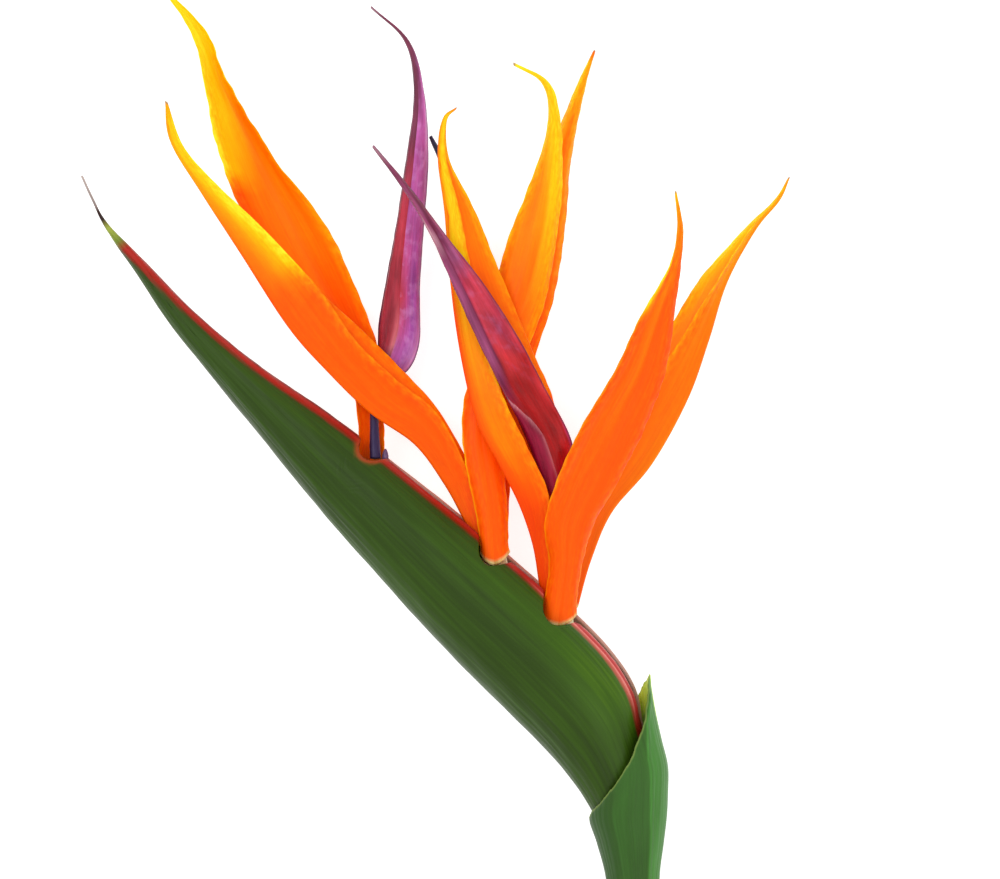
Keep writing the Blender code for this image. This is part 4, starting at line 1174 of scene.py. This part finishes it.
# Mouth: angle round it from +X towards +Z, and the y it reaches there.
SHEATH_MOUTH = (
    (-180.0, -85.0),
    (-130.0, -81.8),
    (-95.0, -72.8),
    (-70.0, -62.6),
    (-50.0, -56.8),
    (-32.0, -54.0),
    (-10.0, -52.4),
    (8.0, -52.0),
    (24.0, -54.4),
    (39.0, -58.1),
    (54.0, -62.7),
    (93.0, -70.8),
    (126.0, -78.0),
    (168.0, -82.8),
    (200.0, -85.5),
)
# The rib runs from the tip of the mouth: its y and its angle round the sheath.
RIB_PATH = (
    (-155.0, 54.0), (-96.5, 57.0), (-86.0, 56.0), (-70.0, 61.0), (-62.0, 48.0), (-56.0, 25.0)
)
SHEATH_START, SHEATH_END = -180.0, 200.0
SHEATH_WALL = 0.6
# The first margin starts inside its stations, and one turn round lifts the sheet outwards.
SHEATH_INSET, SHEATH_RISE = 0.8, 0.95
# It grows out of the shoulder of the node ring on the scape.
NODE_RING = -158.8
SHEATH_FOOT = NODE_RING + 0.4
print("sheath from y", SHEATH_FOOT, "to", max(row[1] for row in SHEATH_MOUTH), "mm")

# %% Finish of the sheath
# A fresh leaf base with a soft bloom: mid green, ribbed about every 1 mm, with one light rib.
sheath_skin, tree, shader = new_finish(
    "green_leaf_sheath", 0.46, IOR=1.45, Specular_IOR_Level=0.2,
    Subsurface_Weight=0.05, Subsurface_Radius=(0.3, 1.0, 0.2), Subsurface_Scale=0.001,
)
vein = fibres(tree, 0.9, 40.0, 2.0)
cloud = fibres(tree, 5.0, 30.0, 3.0)
amount = varied(tree, value_of(tree, "light"), (vein, 0.035), (cloud, 0.06))
LEAF = [
    (0.0, "#22401A"),
    (0.3, "#31521E"),
    (0.5, "#3B6A26"),
    (0.7, "#4A8638"),
    (0.85, "#86B84C"),
    (1.0, "#D8F44A"),
]
green = add(tree, "ValToRGB", {"Fac": amount}, LEAF).outputs["Color"]
# The margin of the mouth is a thin pale line.
edge = add(tree, "MapRange", {0: value_of(tree, "edge_mm"), 1: 0.75, 2: 0.15}).outputs[0]
edge = add(tree, "Math", {0: edge, 1: 0.5}, operation="MULTIPLY").outputs[0]
skin = add(tree, "Mix", {"Factor": edge, 6: green, 7: linear("#8FA050")}, data_type="RGBA").outputs[2]
relief = add(tree, "Math", {0: vein, 1: cloud}, operation="ADD").outputs[0]
dress(tree, shader, skin, relief, 0.25, 0.3 * MM)
print("sheath finish has", len(tree.nodes), "nodes")

# %% Roll the sheath
SHEATH_ROWS, SHEATH_COLS = 190, 200
work, u, v, order = flat_grid(SHEATH_ROWS, SHEATH_COLS)
shape = (SHEATH_ROWS + 1, SHEATH_COLS + 1, 3)
angle = SHEATH_START + (v + 1) / 2 * (SHEATH_END - SHEATH_START)
mouth = np.array(SHEATH_MOUTH)
ring = np.array(SHEATH_RINGS)
smooth_mouth = along(mouth, np.linspace(0, 1, 400))
top = np.interp(angle, smooth_mouth[:, 0], smooth_mouth[:, 1])
# The margin of the mouth is a little uneven.
top = top + 0.35 * wobble(np.radians(angle) * 6, 1.0)
y = SHEATH_FOOT + (top - SHEATH_FOOT) * u**0.75
smooth_ring = along(ring, np.linspace(0, 1, 400))
x_mid, z_mid, half_x, half_z = (
    np.interp(y, smooth_ring[:, 0], smooth_ring[:, k]) for k in range(1, 5)
)
turn = np.radians(angle)
wrap = SHEATH_RISE * (turn - turn.min()) / (2 * math.pi)
rib_at = np.interp(y, *np.array(RIB_PATH).T)
from_rib = angle - rib_at
rib = 0.30 * np.exp(-((from_rib / 5.0) ** 2)) - 0.10 * np.exp(-(((from_rib - 14) / 9.0) ** 2))
ribs = 0.03 * np.sin(turn * 40) + 0.10 * wobble(turn * 4 + y * 0.02, 4.0)
away = wrap - SHEATH_INSET + rib + ribs
x = x_mid + (half_x + away) * np.cos(turn)
z = z_mid + (half_z + away) * np.sin(turn)
points = np.column_stack([x, y, z])
grid = points[order].reshape(shape)
to_mouth = np.maximum(top - y, 0.0)
side = from_side(grid)
to_side = np.minimum(side, side[:, -1:] - side)
# Painted light and shade: lighter on the near side of the rib, darker round the far side, and a
# painted highlight along the pale rib. The lime at the young tip behind the neck is its own colour.
painted_light = 0.38 + 0.24 * ease(-from_rib, 0.0, 6.0)
painted_light = painted_light - 0.14 * ease(angle, 90, 150) - 0.10 * ease(angle, 150, 175)
painted_light = painted_light + 0.30 * np.exp(-((from_rib / 1.8) ** 2))
far_tip = ease(y, -68.0, -57.0) * ease(-angle, -22, 4)
values = {
    "edge_mm": np.minimum(to_mouth, by_point(to_side, order, shape)),
    "light": painted_light + 0.45 * far_tip,
}
thin = 0.5 + 0.5 * ease(values["edge_mm"], 0, 1.5)
made = settle(
    "sheath_bract", work, order, grid, v, values, SHEATH_WALL, thin,
    sheath_skin, rounds=0,
)
print("sheath of", len(made.data.polygons), "quads before its wall")

# %% [markdown]
# ## The scape and the flower stalks
# The scape is a solid round stem. It carries one ring-shaped node where the sheath grows out of
# it, and was cut below that with a knife. Inside the spathe each flower stands on its own pale
# stalk. All four are the same grid once more, rolled to a tube, with the ends filled and inset.

# %% Finishes of the scape, its cut and the stalks
# A smooth waxy stem, with ribs of fibre about 0.9 mm apart under the skin.
stem_skin, tree, shader = new_finish("waxy_green_stem", 0.44, IOR=1.45, Specular_IOR_Level=0.2)
vein = fibres(tree, 0.9, 30.0, 2.0)
cloud = fibres(tree, 5.0, 24.0, 3.0)
speck = fibres(tree, 0.6, 1.2, 2.0)
mixed = add(tree, "Math", {0: vein, 1: cloud}, operation="ADD").outputs[0]
mixed = add(tree, "Math", {0: mixed, 1: 0.5}, operation="MULTIPLY").outputs[0]
STEM = [(0.34, "#345824"), (0.5, "#4A7A34"), (0.66, "#6C9A48")]
green = add(tree, "ValToRGB", {"Fac": mixed}, STEM).outputs["Color"]
marks = add(tree, "MapRange", {0: speck, 1: 0.66, 2: 0.76, 3: 0.0, 4: 0.6}).outputs[0]
MARK, RING = linear("#5A5026"), linear("#8A8A4C")
green = add(tree, "Mix", {"Factor": marks, 6: green, 7: MARK}, data_type="RGBA").outputs[2]
ring_part = value_of(tree, "node_ring")
skin = add(tree, "Mix", {"Factor": ring_part, 6: green, 7: RING}, data_type="RGBA").outputs[2]
dress(tree, shader, skin, mixed, 0.4, 0.2 * MM)

# The cut face shows cream pith with darker vascular bundles, each about 0.7 mm across.
cut_face, tree, shader = new_finish("cut_stem_pith", 0.7, IOR=1.4)
where = add(tree, "TexCoord").outputs["Object"]
BUNDLES_PER_MM = 0.9
bundle = add(tree, "TexVoronoi", {"Vector": where, "Scale": BUNDLES_PER_MM / MM})
dots = add(tree, "MapRange", {0: bundle.outputs["Distance"], 1: 0.22, 2: 0.34}).outputs[0]
pith = add(tree, "ValToRGB", {"Fac": dots}, [(0.0, "#8A8848"), (1.0, "#D5D79A")]).outputs["Color"]
dress(tree, shader, pith, dots, 0.5, 0.2 * MM)

# Stalks kept from the light are cream, with a flush of green in their fibres.
stalk_skin, tree, shader = new_finish("pale_flower_stalk", 0.5, IOR=1.45)
vein = fibres(tree, 0.7, 20.0, 2.0)
cream = add(tree, "ValToRGB", {"Fac": vein}, [(0.35, "#C9BE84"), (0.65, "#E4DCAE")]).outputs["Color"]
dress(tree, shader, cream, vein, 0.3, 0.2 * MM)
print("stem finishes:", stem_skin.name, cut_face.name, stalk_skin.name)

# %% Roll a tube along a path
def make_stem(node, path, rows, sides, skins, ring_place=None):
    """A round stem from x, y, z and radius along its middle, with filled and inset ends."""
    work, u, v, order = flat_grid(rows, sides)
    station = along(path, u)
    middle, radius = station[:, :3], station[:, 3]
    steps = np.linspace(0, 1, 600)
    fine = along(path, steps)[:, :3]
    ahead = unit(np.gradient(fine, axis=0))
    ahead = np.column_stack([np.interp(u, steps, ahead[:, k]) for k in range(3)])
    side = unit(np.cross(ahead, (0.0, 0.0, 1.0)))
    up = np.cross(side, ahead)
    turn = math.pi * v
    ribs = 0.035 * np.sin(turn * 14) + 0.05 * wobble(turn + np.sin(turn), 2.0) * 0.5
    spread = side * np.cos(turn)[:, None] + up * np.sin(turn)[:, None]
    points = middle + spread * (radius * (1 + 0.02 * ribs))[:, None]
    half_turn = math.pi * radius.max()
    length = np.linalg.norm(np.diff(fine, axis=0), axis=1).sum() * u
    on_ring = np.zeros(len(u))
    if ring_place is not None:
        on_ring = np.exp(-(((points[:, 1] - ring_place) / 0.8) ** 2))
    layer = work.verts.layers.float.new("node_ring")
    for vert, point, value in zip(work.verts, (points + HEAD) * MM, on_ring):
        vert.co = point
        vert[layer] = float(value)
    lay_chart(work, length, v * half_turn)
    bmesh.ops.remove_doubles(work, verts=work.verts, dist=1e-6)
    open_edges = [edge for edge in work.edges if edge.is_boundary]
    caps = bmesh.ops.holes_fill(work, edges=open_edges, sides=0)["faces"]
    for cap in caps:
        cap.material_index = len(skins) - 1
        size = math.sqrt(cap.calc_area() / math.pi)
        for share in (0.06, 0.30, 0.62):
            bmesh.ops.inset_region(work, faces=[cap], thickness=size * share * 0.7)
    bmesh.ops.recalc_face_normals(work, faces=work.faces)
    piece = as_object(node + "_look", work, skins)
    hand_over(piece, node)
    return piece


# x, y, z and radius along the middle of each stem.
SCAPE_PATH = (
    (32.4, -182.0, 5.0, 5.0),
    (32.0, -172.0, 5.1, 4.95),
    (31.5, -161.5, 5.5, 5.0),
    (31.4, -159.4, 5.7, 5.6),
    (31.3, -158.2, 5.7, 5.4),
    (31.2, -156.8, 5.7, 4.1),
    (30.6, -130.0, 6.0, 4.1),
    (29.9, -105.0, 6.7, 4.1),
    (29.5, -96.5, 7.4, 4.1),
    (29.0, -89.0, 8.15, 4.0),
    (27.8, -81.0, 9.0, 3.8),
    (26.6, -76.5, 9.6, 3.6),
)
made = make_stem("scape", SCAPE_PATH, 260, 64, (stem_skin, cut_face), NODE_RING)
print("scape of", len(made.data.polygons), "faces")

# %% The three stalks
STALK_PATHS = {
    "left_stalk": (
    (23.4, -76.4, 8.0, 1.5),
    (19.4, -71.0, 8.2, 1.6),
    (9.0, -58.0, 7.0, 1.9),
    (-7.0, -38.0, 7.4, 2.0),
    (-20.0, -20.5, 8.6, 2.1),
    (-27.2, -10.6, 9.8, 2.2),
    (-28.0, -7.6, 10.2, 3.0),
    (-28.2, -6.2, 10.3, 2.9),
    (-28.3, -5.5, 10.4, 2.0),
),
    "middle_stalk": (
    (25.3, -76.2, 11.4, 1.5),
    (21.4, -70.4, 11.6, 1.7),
    (14.0, -58.5, 11.4, 1.9),
    (3.6, -43.0, 11.8, 2.1),
    (-0.6, -33.5, 11.8, 2.3),
    (-1.2, -29.0, 11.7, 3.2),
    (-1.3, -27.2, 11.5, 3.0),
    (-1.3, -25.9, 11.5, 2.7),
),
    "right_stalk": (
    (28.1, -75.2, 8.8, 1.5),
    (25.6, -67.0, 10.4, 1.7),
    (19.8, -56.5, 12.6, 1.9),
    (14.4, -47.6, 12.6, 2.3),
    (13.1, -43.0, 12.0, 3.2),
    (12.9, -40.2, 11.7, 3.3),
    (12.9, -38.2, 11.6, 3.0),
),
}
for node, path in STALK_PATHS.items():
    made = make_stem(node, path, 60, 24, (stalk_skin,))
    print(node, "of", len(made.data.polygons), "faces")

# %% [markdown]
# ## The nectary petal
# The third inner petal is a small hood over the nectary at the foot of the arrow. It is a
# sphere drawn out to a blunt point. A mottled bluish violet is all that it shows.

# %% Shape the nectary hood
NECTARY_MIDDLE = (-25.2, -3.7, 12.4)
NECTARY_HALF = (0.7, 1.7, 0.8)
# Satin petal tissue, mottled about every 0.8 mm.
MOTTLE_PER_MM = 1.2
hood_skin, tree, shader = new_finish("blue_violet_hood", 0.45, IOR=1.45)
where = add(tree, "TexCoord").outputs["Object"]
noise = add(tree, "TexNoise", {"Vector": where, "Scale": MOTTLE_PER_MM / MM, "Detail": 2.0})
noise = noise.outputs["Fac"]
tints = add(tree, "ValToRGB", {"Fac": noise}, [(0.35, "#553C62"), (0.65, "#74587A")]).outputs["Color"]
dress(tree, shader, tints, noise, 0.3, 0.1 * MM)
work = bmesh.new()
bmesh.ops.create_uvsphere(work, u_segments=40, v_segments=24, radius=1.0)
for vert in work.verts:
    x, y, z = vert.co
    narrow = 1 - 0.25 * max(y, 0.0)
    place = np.array((x * narrow, y, z * narrow)) * NECTARY_HALF + NECTARY_MIDDLE
    vert.co = (place + HEAD) * MM
for face in work.faces:
    face.smooth = True
bmesh.ops.recalc_face_normals(work, faces=work.faces)
hood = as_object("left_nectary_petal_look", work, (hood_skin,))
hand_over(hood, "left_nectary_petal")
print("hood at", NECTARY_MIDDLE, "mm")

# %% [markdown]
# ## The size of the flower
# The flower has to stay inside the box of the CAD model, so both boxes are written side by side.

# %% Print both boxes and finish
look_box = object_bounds()
for label, box in (("CAD", cad_box), ("look", look_box)):
    print(label, [[round(c / MM, 2) for c in corner] for corner in box])
